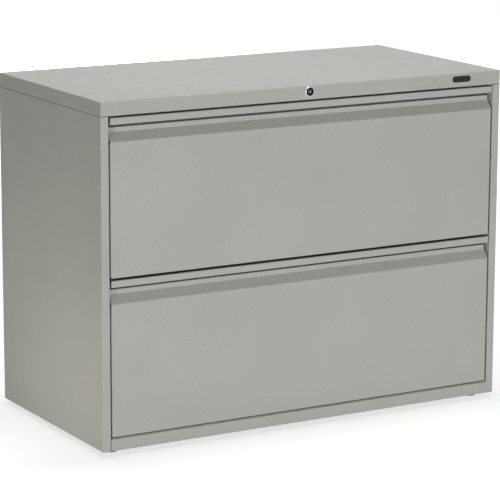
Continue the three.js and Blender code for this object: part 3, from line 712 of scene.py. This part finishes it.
# %% Base rails with their weld nuts
BASE_TOP_FLANGE = 0.018
STEM_HOLE_CUT = 0.006
for end_name, inward in (("front", 1.0), ("rear", -1.0)):
    low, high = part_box(f"base_{end_name}_rail")
    face = low.y if inward > 0 else high.y
    foot_end = high.y if inward > 0 else low.y
    path = [
        (face + inward * BASE_TOP_FLANGE, high.z),
        (face, high.z),
        (face, low.z),
        (foot_end, low.z),
    ]
    if inward < 0:
        path.reverse()
    rail = fold_sheet(f"base_{end_name}_channel", "X", low.x, high.x, path, [OUTER_BEND] * 2)
    thicken(rail, SHEET)
    nuts = []
    for side_name in ("left", "right"):
        glide_low, glide_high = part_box(f"glide_{end_name}_{side_name}")
        axis = (glide_low + glide_high) / 2
        stem_place = (axis.x, axis.y, low.z)
        cut_away(rail, add_rod("stem_hole", stem_place, NUT_BORE, STEM_HOLE_CUT, NUT_BORE_POINTS))
        nuts.append(copy_of(first_nut, "weld_nut_copy", (axis.x, axis.y, low.z + SHEET)))
    make_active(rail)
    for nut in nuts:
        nut.select_set(True)
    bpy.ops.object.join()
    hand_over(rail, grey_coat, "case", "paint", f"base_{end_name}_rail")
bpy.data.objects.remove(first_nut)

# %% [markdown]
# ## Back
# The back is a flat sheet lapped over the sides' rear flanges and spot-welded to them. Each weld leaves a
# shallow round dent in the sheet. One ball, repeated up the two edges by Array modifiers, cuts all the
# dents at once.

# %% Back sheet with its weld marks
WELD_BALL = 0.012
WELD_BALL_SEGMENTS = 20
WELD_BALL_RINGS = 48
WELD_DENT = 0.0003
WELD_ROWS = 7
WELD_COLUMNS = 2
WELD_RIM = 0.04
back = add_box("back_sheet", (back_low + back_high) / 2, back_high - back_low)
soften(back, SEAM_ROUND)
weld_x = HALF_WIDTH - REAR_FLANGE / 2
weld_pitch = (back_high.z - back_low.z - 2 * WELD_RIM) / (WELD_ROWS - 1)
bpy.ops.object.select_all(action="DESELECT")
bpy.ops.mesh.primitive_uv_sphere_add(
    segments=WELD_BALL_SEGMENTS,
    ring_count=WELD_BALL_RINGS,
    radius=WELD_BALL,
    location=(-weld_x, back_high.y + WELD_BALL - WELD_DENT, back_low.z + WELD_RIM),
    rotation=ALONG_Y,
)
dents = begin("weld_balls")
repeat(dents, WELD_ROWS, (0.0, 0.0, weld_pitch))
repeat(dents, WELD_COLUMNS, (2 * weld_x, 0.0, 0.0))
cut_away(back, dents)
hand_over(back, grey_coat, "case", "paint", "back_panel")

# %% [markdown]
# ## Drawer fronts
# Each front is one wide sheet. From the bottom it runs up the face, leans back into a slope, stands up as
# a short band, steps back under the top, and comes forward again into a lip that ends in a closed hem.
# Fingers go in under the lip and pull. The path is drawn on the sheet's back so that the thickness comes
# out on the face. The walls of the hollow behind the lip and the underside of the bottom return get a much
# darker coat, which is painted shade.

# %% Section of a drawer front, measured down from its top and in from its face
FRONT_SHEET = 0.0009
LIP_HEIGHT = 0.0134
BAND_TOP = 0.0198
BAND_BOTTOM = 0.0295
SLOPE_END = 0.0465
RECESS_DEPTH = 0.0145
HEM_HEIGHT = 0.008
HEM_DEPTH = 0.0021
HEM_BEND = 0.00095
TIGHT_BEND = 0.001
LIP_CORNER = 0.0024
UP = (0.0, 0.0, 1.0)
slope_turn = math.atan2(RECESS_DEPTH, SLOPE_END - BAND_BOTTOM)
slope_shift = FRONT_SHEET * math.tan(slope_turn / 2)


def front_section(low, high):
    """The back of the face sheet from its bottom return to the hem inside the lip, with each fold's bend."""
    rear = high.y
    hem = FRONT + HEM_DEPTH
    folds = [
        (rear, low.z + FRONT_SHEET, None),
        (FRONT + FRONT_SHEET, low.z + FRONT_SHEET, TIGHT_BEND),
        (FRONT + FRONT_SHEET, high.z - SLOPE_END - slope_shift, TIGHT_BEND),
        (FRONT + RECESS_DEPTH + FRONT_SHEET, high.z - BAND_BOTTOM - slope_shift, TIGHT_BEND),
        (FRONT + RECESS_DEPTH + FRONT_SHEET, high.z - BAND_TOP - FRONT_SHEET, TIGHT_BEND),
        (rear, high.z - BAND_TOP - FRONT_SHEET, OUTER_BEND),
        (rear, high.z, OUTER_BEND),
        (FRONT, high.z, OUTER_BEND),
        (FRONT, high.z - LIP_HEIGHT, HEM_BEND),
        (hem, high.z - LIP_HEIGHT, HEM_BEND),
        (hem, high.z - LIP_HEIGHT + HEM_HEIGHT, None),
    ]
    path = [(depth, height) for depth, height, _ in folds]
    return path, [bend for _, _, bend in folds[1:-1]]


print("slope leans back", round(math.degrees(slope_turn), 1), "degrees")

# %% Helper that rounds the lower corners of the lip
LEVEL_DIGITS = 6


def round_lip_ends(face, half_width, lip_bottom):
    """Adds cross lines near the lip's lower edge and draws each one in, so that the corners become arcs."""

    def on_lip(point):
        return point.y < FRONT + HEM_DEPTH + NEAR and point.z > lip_bottom - NEAR

    for height in (LIP_CORNER, LIP_CORNER / 2):
        pick(face, "FACE", lambda part: all(on_lip(v.co) for v in part.verts))
        bpy.ops.mesh.bisect(plane_co=(0.0, 0.0, lip_bottom + height), plane_no=UP)
    mesh = bmesh.from_edit_mesh(face.data)
    arc_top = lip_bottom + LIP_CORNER - NEAR
    low_points = [v.co for v in mesh.verts if on_lip(v.co) and v.co.z < arc_top]
    levels = {round(point.z, LEVEL_DIGITS) for point in low_points}
    for level in sorted(levels):
        rise = LIP_CORNER - (level - lip_bottom)
        inset = LIP_CORNER - math.sqrt(LIP_CORNER**2 - min(rise, LIP_CORNER) ** 2)
        pick(face, "VERT", lambda v: on_lip(v.co) and abs(v.co.z - level) < NEAR / 2)
        bpy.ops.transform.resize(value=(1.0 - inset / half_width, 1.0, 1.0), center_override=(0.0, 0.0, 0.0))


# %% Upper drawer's front, folded, and its copy below
upper_low, upper_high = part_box("upper_drawer_front")
lower_low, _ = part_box("lower_drawer_front")
DRAWER_STEP = lower_low.z - upper_low.z
FACE_END_LENGTH = 0.1
path, bends = front_section(upper_low, upper_high)
upper_face = fold_sheet("upper_front_sheet", "X", upper_low.x, upper_high.x, path, bends)
make_active(upper_face)
bpy.ops.object.mode_set(mode="EDIT")
return_line = upper_high.x - FRONT_SHEET


def on_face_end(edge):
    """The upright end edges of the big flat face."""
    first, second = (v.co for v in edge.verts)
    on_face = all(near(point, y=FRONT + FRONT_SHEET) for point in (first, second))
    at_end = min(abs(first.x), abs(second.x)) > STILE_EDGE / 2
    return on_face and at_end and abs(first.z - second.z) > FACE_END_LENGTH


pick(upper_face, "EDGE", on_face_end)
bpy.ops.transform.resize(value=(return_line / upper_high.x, 1.0, 1.0), center_override=(0.0, 0.0, 0.0))
bpy.ops.mesh.extrude_edges_move(
    TRANSFORM_OT_translate={"value": (0.0, upper_high.y - FRONT - FRONT_SHEET, 0.0)}
)
pick(upper_face, "EDGE", on_face_end)
round_picked(TIGHT_BEND)
round_lip_ends(upper_face, upper_high.x, upper_high.z - LIP_HEIGHT)
bpy.ops.object.mode_set(mode="OBJECT")
thicken(upper_face, FRONT_SHEET)
lower_face = copy_of(upper_face, "lower_front_sheet", (0.0, 0.0, DRAWER_STEP))
print(lower_face.name, "stands", round(-DRAWER_STEP, 4), "below", upper_face.name)

# %% Coat on the fronts
for drawer, face in (("upper", upper_face), ("lower", lower_face)):
    low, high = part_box(f"{drawer}_drawer_front")
    hand_over(face, grey_coat, f"{drawer}_drawer", "paint", f"{drawer}_drawer_front")
    pull_floor = high.z - BAND_TOP - NEAR
    pull_roof = high.z - FRONT_SHEET / 2

    def gets_painted_shade(part):
        """The faces with painted shade: the walls of the hollow behind the lip, and the underside of the
        bottom return.
        """
        centre = part.calc_center_median()
        if centre.z < low.z + NEAR:
            return True
        return centre.y > FRONT + HEM_DEPTH + 2 * FRONT_SHEET and pull_floor < centre.z < pull_roof

    # Painted shade: these faces get the much darker coat.
    recoat(face, painted_shade_coat, gets_painted_shade)

# %% [markdown]
# ## Drawer boxes
# A drawer box is spot-welded from light sheet: a liner that closes the back of the front, two sides
# folded over at top and bottom, a back with a foot flange, and a bottom with pressed ribs that keep it
# from drumming. The two drawers are alike, so each piece is made for the upper drawer and copied down for
# the lower one.

# %% Helper for pieces that both drawers have, and the liner
BOX_BEND = 0.0019


def hand_over_both(piece, finish, slot, rides, part):
    """Hands over a piece of the upper drawer, and a copy of it for the lower drawer."""
    twin = copy_of(piece, piece.name.replace("upper", "lower"), (0.0, 0.0, DRAWER_STEP))
    for drawer, each in (("upper", piece), ("lower", twin)):
        hand_over(each, finish, rides.format(drawer), slot, f"{drawer}_{part}")


low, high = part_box("upper_drawer_front_liner")
path = [(high.y, high.z), (low.y, high.z), (low.y, low.z), (high.y, low.z)]
liner = fold_sheet("upper_liner_sheet", "X", low.x, high.x, path, [BOX_BEND] * 2)
thicken(liner, FRONT_SHEET)
hand_over_both(liner, grey_coat, "paint", "{}_drawer", "drawer_front_liner")

# %% [markdown]
# ## Drawer sides
# Each side has a row of upright slots under its top fold, where cross rails for letter-size folders can
# be hooked in. One rounded bar, repeated by an Array modifier, cuts the whole row at an even pitch. The
# right side also carries a tab, which the lock bar's finger holds when the drawer is locked. The tab is a
# small box joined to the sheet.

# %% Slots and sides
SLOT_WIDTH = 0.003
SLOT_HEIGHT = 0.016
SLOT_PITCH = 0.03175
SLOT_DROP = 0.022
SLOT_MARGIN = 0.045
ROUND_OVER = 0.4999
OBLONG_SEGMENTS = 6


def oblong_cutter(name, centre, length, width, along):
    """A bar through a wall that faces X, with its ends rounded over, long in Y or in Z."""
    section = (length, width) if along == "Y" else (width, length)
    cutter = add_box(name, centre, (CUTTER_DEPTH, *section))
    bpy.ops.object.mode_set(mode="EDIT")
    pick(cutter, "EDGE", lambda edge: abs(edge.verts[0].co.x - edge.verts[1].co.x) > NEAR)
    round_picked(width * ROUND_OVER, OBLONG_SEGMENTS)
    bpy.ops.object.mode_set(mode="OBJECT")
    return cutter


low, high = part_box("upper_drawer_side_left")
path = [(high.x, high.z), (low.x, high.z), (low.x, low.z), (high.x, low.z)]
left_wall = fold_sheet("upper_side_left_sheet", "Y", low.y, high.y, path, [BOX_BEND] * 2)
thicken(left_wall, FRONT_SHEET)
first_slot = (low.x, low.y + SLOT_MARGIN, high.z - SLOT_DROP)
slots = oblong_cutter("rail_slots", first_slot, SLOT_HEIGHT, SLOT_WIDTH, along="Z")
slot_count = int((high.y - low.y - 2 * SLOT_MARGIN) / SLOT_PITCH) + 1
repeat(slots, slot_count, (0.0, SLOT_PITCH, 0.0))
cut_away(left_wall, slots)
right_wall = copy_of(left_wall, "upper_side_right_sheet", mirrored=True)
wall_face = -low.x
hand_over_both(left_wall, grey_coat, "paint", "{}_drawer", "drawer_side_left")

# %% Catch tab on the right side
CATCH_START = 0.036
CATCH_THICKNESS = 0.002
CATCH_LOW = 0.11
CATCH_HEIGHT = 0.02
CATCH_CORNER = 0.004
SOFT_EDGE = 0.0003
low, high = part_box("upper_drawer_side_right")
catch_root = wall_face - FRONT_SHEET / 2
catch_size = Vector((high.x - catch_root, CATCH_THICKNESS, CATCH_HEIGHT))
catch_corner = Vector((catch_root, FRONT + CATCH_START, upper_low.z + CATCH_LOW))


def on_tab_tip(edge):
    """The two edges at the tab's tip that run through its thickness."""
    first, second = (v.co for v in edge.verts)
    return near(first, x=high.x, z=second.z) and near(second, x=high.x)


tab = add_box("catch_tab", catch_corner + catch_size / 2, catch_size)
bpy.ops.object.mode_set(mode="EDIT")
pick(tab, "EDGE", on_tab_tip)
round_picked(CATCH_CORNER)
bpy.ops.object.mode_set(mode="OBJECT")
soften(tab, SOFT_EDGE)
make_active(right_wall)
tab.select_set(True)
bpy.ops.object.join()
hand_over_both(right_wall, grey_coat, "paint", "{}_drawer", "drawer_side_right")

# %% [markdown]
# ## Drawer bottom and back
# The ribs in the bottom are pressed up from the flat sheet. A plane is cut across where the ribs begin
# and end, each rib's face is inset, and the inner faces are lifted, which leaves sloping walls. Solidify
# then follows the ribs on both faces of the sheet.

# %% Drawer bottom with ribs
RIB_COUNT = 3
RIB_WIDTH = 0.03
RIB_HALF_LENGTH = 0.36
RIB_SLOPE = 0.004
RIB_RISE = 0.0016
low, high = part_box("upper_drawer_bottom")
bpy.ops.object.select_all(action="DESELECT")
bpy.ops.mesh.primitive_plane_add(size=1.0, location=((low.x + high.x) / 2, (low.y + high.y) / 2, low.z))
bottom = begin("upper_bottom_sheet", (high.x - low.x, high.y - low.y, 1.0))
rib_centres = [low.y + (high.y - low.y) * (k + 1) / (RIB_COUNT + 1) for k in range(RIB_COUNT)]
cuts = [((x, 0.0, low.z), (1.0, 0.0, 0.0)) for x in (-RIB_HALF_LENGTH, RIB_HALF_LENGTH)]
for centre in rib_centres:
    cuts += [((0.0, centre + half, low.z), (0.0, 1.0, 0.0)) for half in (-RIB_WIDTH / 2, RIB_WIDTH / 2)]
bpy.ops.object.mode_set(mode="EDIT")
for place, across in cuts:
    bpy.ops.mesh.select_all(action="SELECT")
    bpy.ops.mesh.bisect(plane_co=place, plane_no=across)


def in_rib(part):
    """The faces that become ribs."""
    middle = part.calc_center_median()
    return abs(middle.x) < RIB_HALF_LENGTH and min(abs(middle.y - y) for y in rib_centres) < RIB_WIDTH / 2


pick(bottom, "FACE", in_rib)
bpy.ops.mesh.inset(thickness=RIB_SLOPE, depth=0.0, use_individual=True)
bpy.ops.transform.translate(value=(0.0, 0.0, RIB_RISE))
bpy.ops.object.mode_set(mode="OBJECT")
thicken(bottom, FRONT_SHEET)
hand_over_both(bottom, grey_coat, "paint", "{}_drawer", "drawer_bottom")

# %% Drawer back
low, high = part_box("upper_drawer_back")
path = [(low.y, low.z), (high.y, low.z), (high.y, high.z)]
box_back = fold_sheet("upper_back_sheet", "X", low.x, high.x, path, [BOX_BEND])
thicken(box_back, FRONT_SHEET)
hand_over_both(box_back, grey_coat, "paint", "{}_drawer", "drawer_back")

# %% [markdown]
# ## Rails for hanging folders
# Two zinc-plated angles run across each drawer. Each is one fold, and a Bevel modifier rounds its edges,
# as deburring does, so that the folders' hooks slide.

# %% Hanging rails
RAIL_SHEET = 0.0015
RAIL_BEND = 0.0024
RAIL_ROUND = 0.0006
for end_name in ("front", "rear"):
    low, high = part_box(f"upper_hang_rail_{end_name}")
    face_y, foot_y = (low.y, high.y) if end_name == "front" else (high.y, low.y)
    path = [(face_y, high.z), (face_y, low.z), (foot_y, low.z)]
    if end_name == "rear":
        path.reverse()
    rail = fold_sheet(f"upper_hang_rail_{end_name}_angle", "X", low.x, high.x, path, [RAIL_BEND])
    thicken(rail, RAIL_SHEET)
    soften(rail, RAIL_ROUND)
    hand_over_both(rail, zinc_along_x, "zinc", "{}_drawer", f"hang_rail_{end_name}")

# %% [markdown]
# ## Slides
# A telescopic slide has three nested channels: one on the case, one on the drawer and one between them
# that travels half as far. Each is rolled from zinc-plated strip, with round corners where the balls run,
# and oblong holes for screws, which the same kind of bar cuts as cut the drawers' slots. The left one is
# made, and the right one is its mirror image.

# %% Slide channels
SLIDE_SHEET = 0.0014
SLIDE_BEND = 0.003
SCREW_SLOT_LENGTH = 0.014
SCREW_SLOT_WIDTH = 0.0052
SCREW_SLOTS = 4
SCREW_MARGIN = 0.035
for member, rides in (("case", "case"), ("middle", "{}_slide_middle"), ("drawer", "{}_drawer")):
    low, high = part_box(f"upper_slide_{member}_left")
    web, tip = (high.x, low.x) if member == "drawer" else (low.x, high.x)
    path = [(tip, high.z), (web, high.z), (web, low.z), (tip, low.z)]
    if member == "drawer":
        path.reverse()
    channel = fold_sheet(f"upper_slide_{member}_left_channel", "Y", low.y, high.y, path, [SLIDE_BEND] * 2)
    thicken(channel, SLIDE_SHEET)
    first_slot = (web, low.y + SCREW_MARGIN, (low.z + high.z) / 2)
    slots = oblong_cutter("screw_slots", first_slot, SCREW_SLOT_LENGTH, SCREW_SLOT_WIDTH, along="Y")
    slot_pitch = (high.y - low.y - 2 * SCREW_MARGIN) / (SCREW_SLOTS - 1)
    repeat(slots, SCREW_SLOTS, (0.0, slot_pitch, 0.0))
    cut_away(channel, slots)
    twin = copy_of(channel, f"upper_slide_{member}_right_channel", mirrored=True)
    hand_over_both(channel, zinc_along_y, "zinc", rides, f"slide_{member}_left")
    hand_over_both(twin, zinc_along_y, "zinc", rides, f"slide_{member}_right")

# %% [markdown]
# ## Turned pieces
# The lock's housing and plug and the glides are turned on a lathe. By hand, a ring of points is extruded
# and scaled once for each step of the profile, which keeps every ring a clean loop. A spin of the profile
# would do as well.

# %% Helper that turns a profile


def turned(name, centre, towards, profile, points):
    """A wall through rings of (radius, distance along the axis).

    A profile that comes back to its first ring makes a closed tube. Any other is capped at both ends."""
    heading = Vector(towards).to_track_quat("Z", "X")
    radius, along = profile[0]
    bpy.ops.object.select_all(action="DESELECT")
    bpy.ops.mesh.primitive_circle_add(
        vertices=points,
        radius=radius,
        fill_type="NOTHING",
        location=Vector(centre) + Vector(towards) * along,
        rotation=heading.to_euler(),
    )
    piece = begin(name)
    bpy.ops.object.mode_set(mode="EDIT")
    bpy.ops.mesh.select_all(action="SELECT")
    for next_radius, next_along in profile[1:]:
        step = Vector(towards) * (next_along - along)
        bpy.ops.mesh.extrude_edges_move(TRANSFORM_OT_translate={"value": step})
        factor = next_radius / radius
        middle = Vector(centre) + Vector(towards) * next_along
        bpy.ops.transform.resize(value=(factor, factor, factor), center_override=middle)
        radius, along = next_radius, next_along
    if profile[-1] == profile[0]:
        bpy.ops.mesh.select_all(action="SELECT")
        bpy.ops.mesh.remove_doubles(threshold=NEAR)
    else:
        bpy.ops.mesh.select_mode(type="EDGE")
        bpy.ops.mesh.select_all(action="DESELECT")
        bpy.ops.mesh.select_non_manifold()
        bpy.ops.mesh.fill_holes(sides=0)
        bpy.ops.mesh.select_all(action="SELECT")
    bpy.ops.mesh.normals_make_consistent(inside=False)
    bpy.ops.object.mode_set(mode="OBJECT")
    return piece


# %% [markdown]
# ## Lock
# The housing is a chromed ring with a rolled rim. Only the rim is bright chrome: inside its crown the
# chrome is darkened almost to black, a painted dark reflection. The plug inside turns, and has a sunken
# flange round a polished boss, with a keyway down its face. Its boss is a dim chrome and its flange and
# tail nearly black, painted dark reflections too. Each is one turned profile. The faces with the painted
# dark reflection are picked by their place and given a second finish, so that each stays one piece.

# %% Lock housing
INTO_CASE = (0.0, 1.0, 0.0)
LOCK_PROUD = FRONT - lock_low.y
RIM_RADIUS = lock_high.x
RIM_SEAT = -0.0001
BRIGHT_RIM = 0.0011
BARREL_RADIUS = 0.0082
BARREL_END = lock_high.y - FRONT
PLUG_BORE = 0.00635
RING_POINTS = 64
# Rounding steps: out from the bore or in from the rim, and back from the crown.
BORE_ROUND = [(0.0, 0.0009), (0.0003, 0.0004), (0.0009, 0.0001), (0.0014, 0.0)]
RIM_ROUND = [(0.0009, 0.0004), (0.0003, 0.0008), (0.0, 0.0014)]

ring_profile = [(PLUG_BORE, BARREL_END)]
ring_profile += [(PLUG_BORE + outward, back_step - LOCK_PROUD) for outward, back_step in BORE_ROUND]
ring_profile += [(RIM_RADIUS - inward, back_step - LOCK_PROUD) for inward, back_step in RIM_ROUND]
ring_profile += [(RIM_RADIUS, RIM_SEAT), (BARREL_RADIUS, RIM_SEAT), (BARREL_RADIUS, BARREL_END)]
ring_profile.append(ring_profile[0])
housing = turned("lock_ring", LOCK_PLACE, INTO_CASE, ring_profile, RING_POINTS)
hand_over(housing, rim_chrome, "case", "chrome", "lock_housing")


def off_axis(part):
    """How far a face's middle lies from the lock's axis."""
    middle = part.calc_center_median() - LOCK_PLACE
    return math.hypot(middle.x, middle.z)


# Painted dark reflection on the faces inside the bright rim.
recoat(housing, chrome_painted_dark_reflection, lambda part: off_axis(part) < RIM_RADIUS - BRIGHT_RIM)

# %% Lock plug
plug_low, plug_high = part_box("lock_plug")
PLUG_RADIUS = plug_high.x
PLUG_FACE = plug_low.y - FRONT
PLUG_END = plug_high.y - FRONT
PLUG_POINTS = 48
BOSS_RADIUS = 0.0043
BOSS_CHAMFER = 0.0003
FLANGE_SUNK = 0.0012
TAIL_RADIUS = 0.0035
TAIL_CHAMFER = 0.0004
TAIL_GAP = 0.0005
KEYWAY_WIDTH = 0.0016
KEYWAY_HEIGHT = 0.008
KEYWAY_DEPTH = 0.007
KEYWAY_OVERCUT = 0.001
tail_start = BARREL_END + TAIL_GAP
plug_profile = [
    (BOSS_RADIUS - BOSS_CHAMFER, PLUG_FACE),
    (BOSS_RADIUS, PLUG_FACE + BOSS_CHAMFER),
    (BOSS_RADIUS, PLUG_FACE + FLANGE_SUNK),
    (PLUG_RADIUS, PLUG_FACE + FLANGE_SUNK),
    (PLUG_RADIUS, tail_start),
    (TAIL_RADIUS, tail_start),
    (TAIL_RADIUS, PLUG_END - TAIL_CHAMFER),
    (TAIL_RADIUS - TAIL_CHAMFER, PLUG_END),
]
plug = turned("keyed_plug", LOCK_PLACE, INTO_CASE, plug_profile, PLUG_POINTS)
keyway_middle = PLUG_FACE + KEYWAY_DEPTH / 2 - KEYWAY_OVERCUT / 2
keyway_place = LOCK_PLACE + Vector((0.0, keyway_middle, 0.0))
keyway_size = (KEYWAY_WIDTH, KEYWAY_DEPTH + KEYWAY_OVERCUT, KEYWAY_HEIGHT)
cut_away(plug, add_box("keyway", keyway_place, keyway_size))
# The plug's dim chrome is a painted dark reflection.
hand_over(plug, plug_chrome_painted_dim_reflection, "lock_plug", "chrome", "lock_plug")
flange_line = FRONT + PLUG_FACE + FLANGE_SUNK / 2
# Painted dark reflection on the plug's sunken flange and tail.
recoat(plug, chrome_painted_dark_reflection, lambda part: part.calc_center_median().y > flange_line)

# %% [markdown]
# ## Plate
# A small black pill-shaped plate sits on the skirt, bare. A box whose four edges from front to back are
# rounded right over makes the pill, and its front rim is softened so that it catches the light.

# %% Bare plate
PLATE_SEGMENTS = 16
plate_low, plate_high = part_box("badge_plate")
plate = add_box("bare_plate", (plate_low + plate_high) / 2, plate_high - plate_low)
bpy.ops.object.mode_set(mode="EDIT")
pick(plate, "EDGE", lambda edge: abs(edge.verts[0].co.y - edge.verts[1].co.y) > NEAR)
round_picked((plate_high.z - plate_low.z) * ROUND_OVER, PLATE_SEGMENTS)
bpy.ops.object.mode_set(mode="OBJECT")
soften(plate, SOFT_EDGE)
hand_over(plate, plate_black, "case", "plate_plastic", "badge_plate")

# %% [markdown]
# ## Levelling glides
# A glide is a zinc-plated foot on a threaded stem. The thread is a row of rings, one for each turn,
# because a true helix would not be told apart at this size.

# %% Profile of a glide
STEM_RADIUS = 0.004
THREAD_START = 0.0105
THREAD_PITCH = 0.00125
THREAD_DEPTH = 0.0005
# The foot's rounding steps, in from its rim and up from the floor, and then the neck's rings.
FOOT_ROUND = [(0.0016, 0.0), (0.0005, 0.0002), (0.0, 0.0009), (0.0, 0.0036), (0.0006, 0.0045)]
NECK_TOP = 0.0097
NECK_RINGS = [(0.0078, 0.0058), (0.007, 0.0062), (0.007, 0.0094), (0.0066, NECK_TOP)]


def glide_profile(foot_radius, height):
    """Foot, neck and threaded stem from the floor up."""
    rings = [(foot_radius - inward, up) for inward, up in FOOT_ROUND]
    rings += NECK_RINGS
    rings.append((STEM_RADIUS, NECK_TOP))
    along = THREAD_START
    while along + THREAD_PITCH < height:
        rings.append((STEM_RADIUS, along))
        rings.append((STEM_RADIUS - THREAD_DEPTH, along + THREAD_PITCH / 2))
        along += THREAD_PITCH
    rings.append((STEM_RADIUS - THREAD_DEPTH, height))
    return rings


glide_low, glide_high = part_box("glide_front_left")
profile = glide_profile((glide_high.x - glide_low.x) / 2, glide_high.z)
print("a glide has", len(profile), "rings")

# %% Four glides
GLIDE_POINTS = 40
first_axis = (glide_low + glide_high) / 2
first_place = Vector((first_axis.x, first_axis.y, glide_low.z))
first_glide = turned("glide_front_left_foot", first_place, UP, profile, GLIDE_POINTS)
glides = {"glide_front_left": first_glide}
for node in ("glide_front_right", "glide_rear_left", "glide_rear_right"):
    low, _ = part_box(node)
    glides[node] = copy_of(first_glide, f"{node}_foot", low - glide_low)
# The glides get the darkened zinc, which is painted shade under the base.
for node, glide in glides.items():
    hand_over(glide, zinc_painted_shade, node, "zinc", node)

# %% [markdown]
# ## Solids that stay
# Ball cages, uprights, the top's front rail, the bottom pan, the ballast and the lock's linkage are
# nearly out of sight, and they keep the shapes they have in the frame. Each gets its finish by what it is
# made of, with the zinc's grain running the way it was drawn. The linkage's zinc is darkened far below
# zinc's own tone: painted shade, so that it doesn't glint through the gap under the skirt.

# %% Finishes on the solids that stay
UPRIGHT_GRAIN = "upright"
CROSS_GRAIN = "top_front_rail"
LINKAGE = "lock_"


def finish_for(node, slot):
    """The finish of a solid, from its slot in the record and the way its grain runs."""
    if slot == "paint":
        return grey_coat
    if slot == "ballast":
        return ballast_steel
    # Painted shade: the linkage gets the darkened zinc.
    if node.startswith(LINKAGE):
        return zinc_painted_shade
    if UPRIGHT_GRAIN in node:
        return zinc_upright
    if CROSS_GRAIN in node:
        return zinc_along_x
    return zinc_along_y


kept = 0
for row in frame["record"]["subparts"]:
    solid = frame["nodes"][row["node"]]
    if solid.hide_render:
        continue
    solid.data.materials.clear()
    solid.data.materials.append(finish_for(row["node"], row["material_slot"]))
    kept += 1
print("solids that stay:", kept)

# %% [markdown]
# ## End
# The view layer is brought up to date.

# %% The end
bpy.context.view_layer.update()
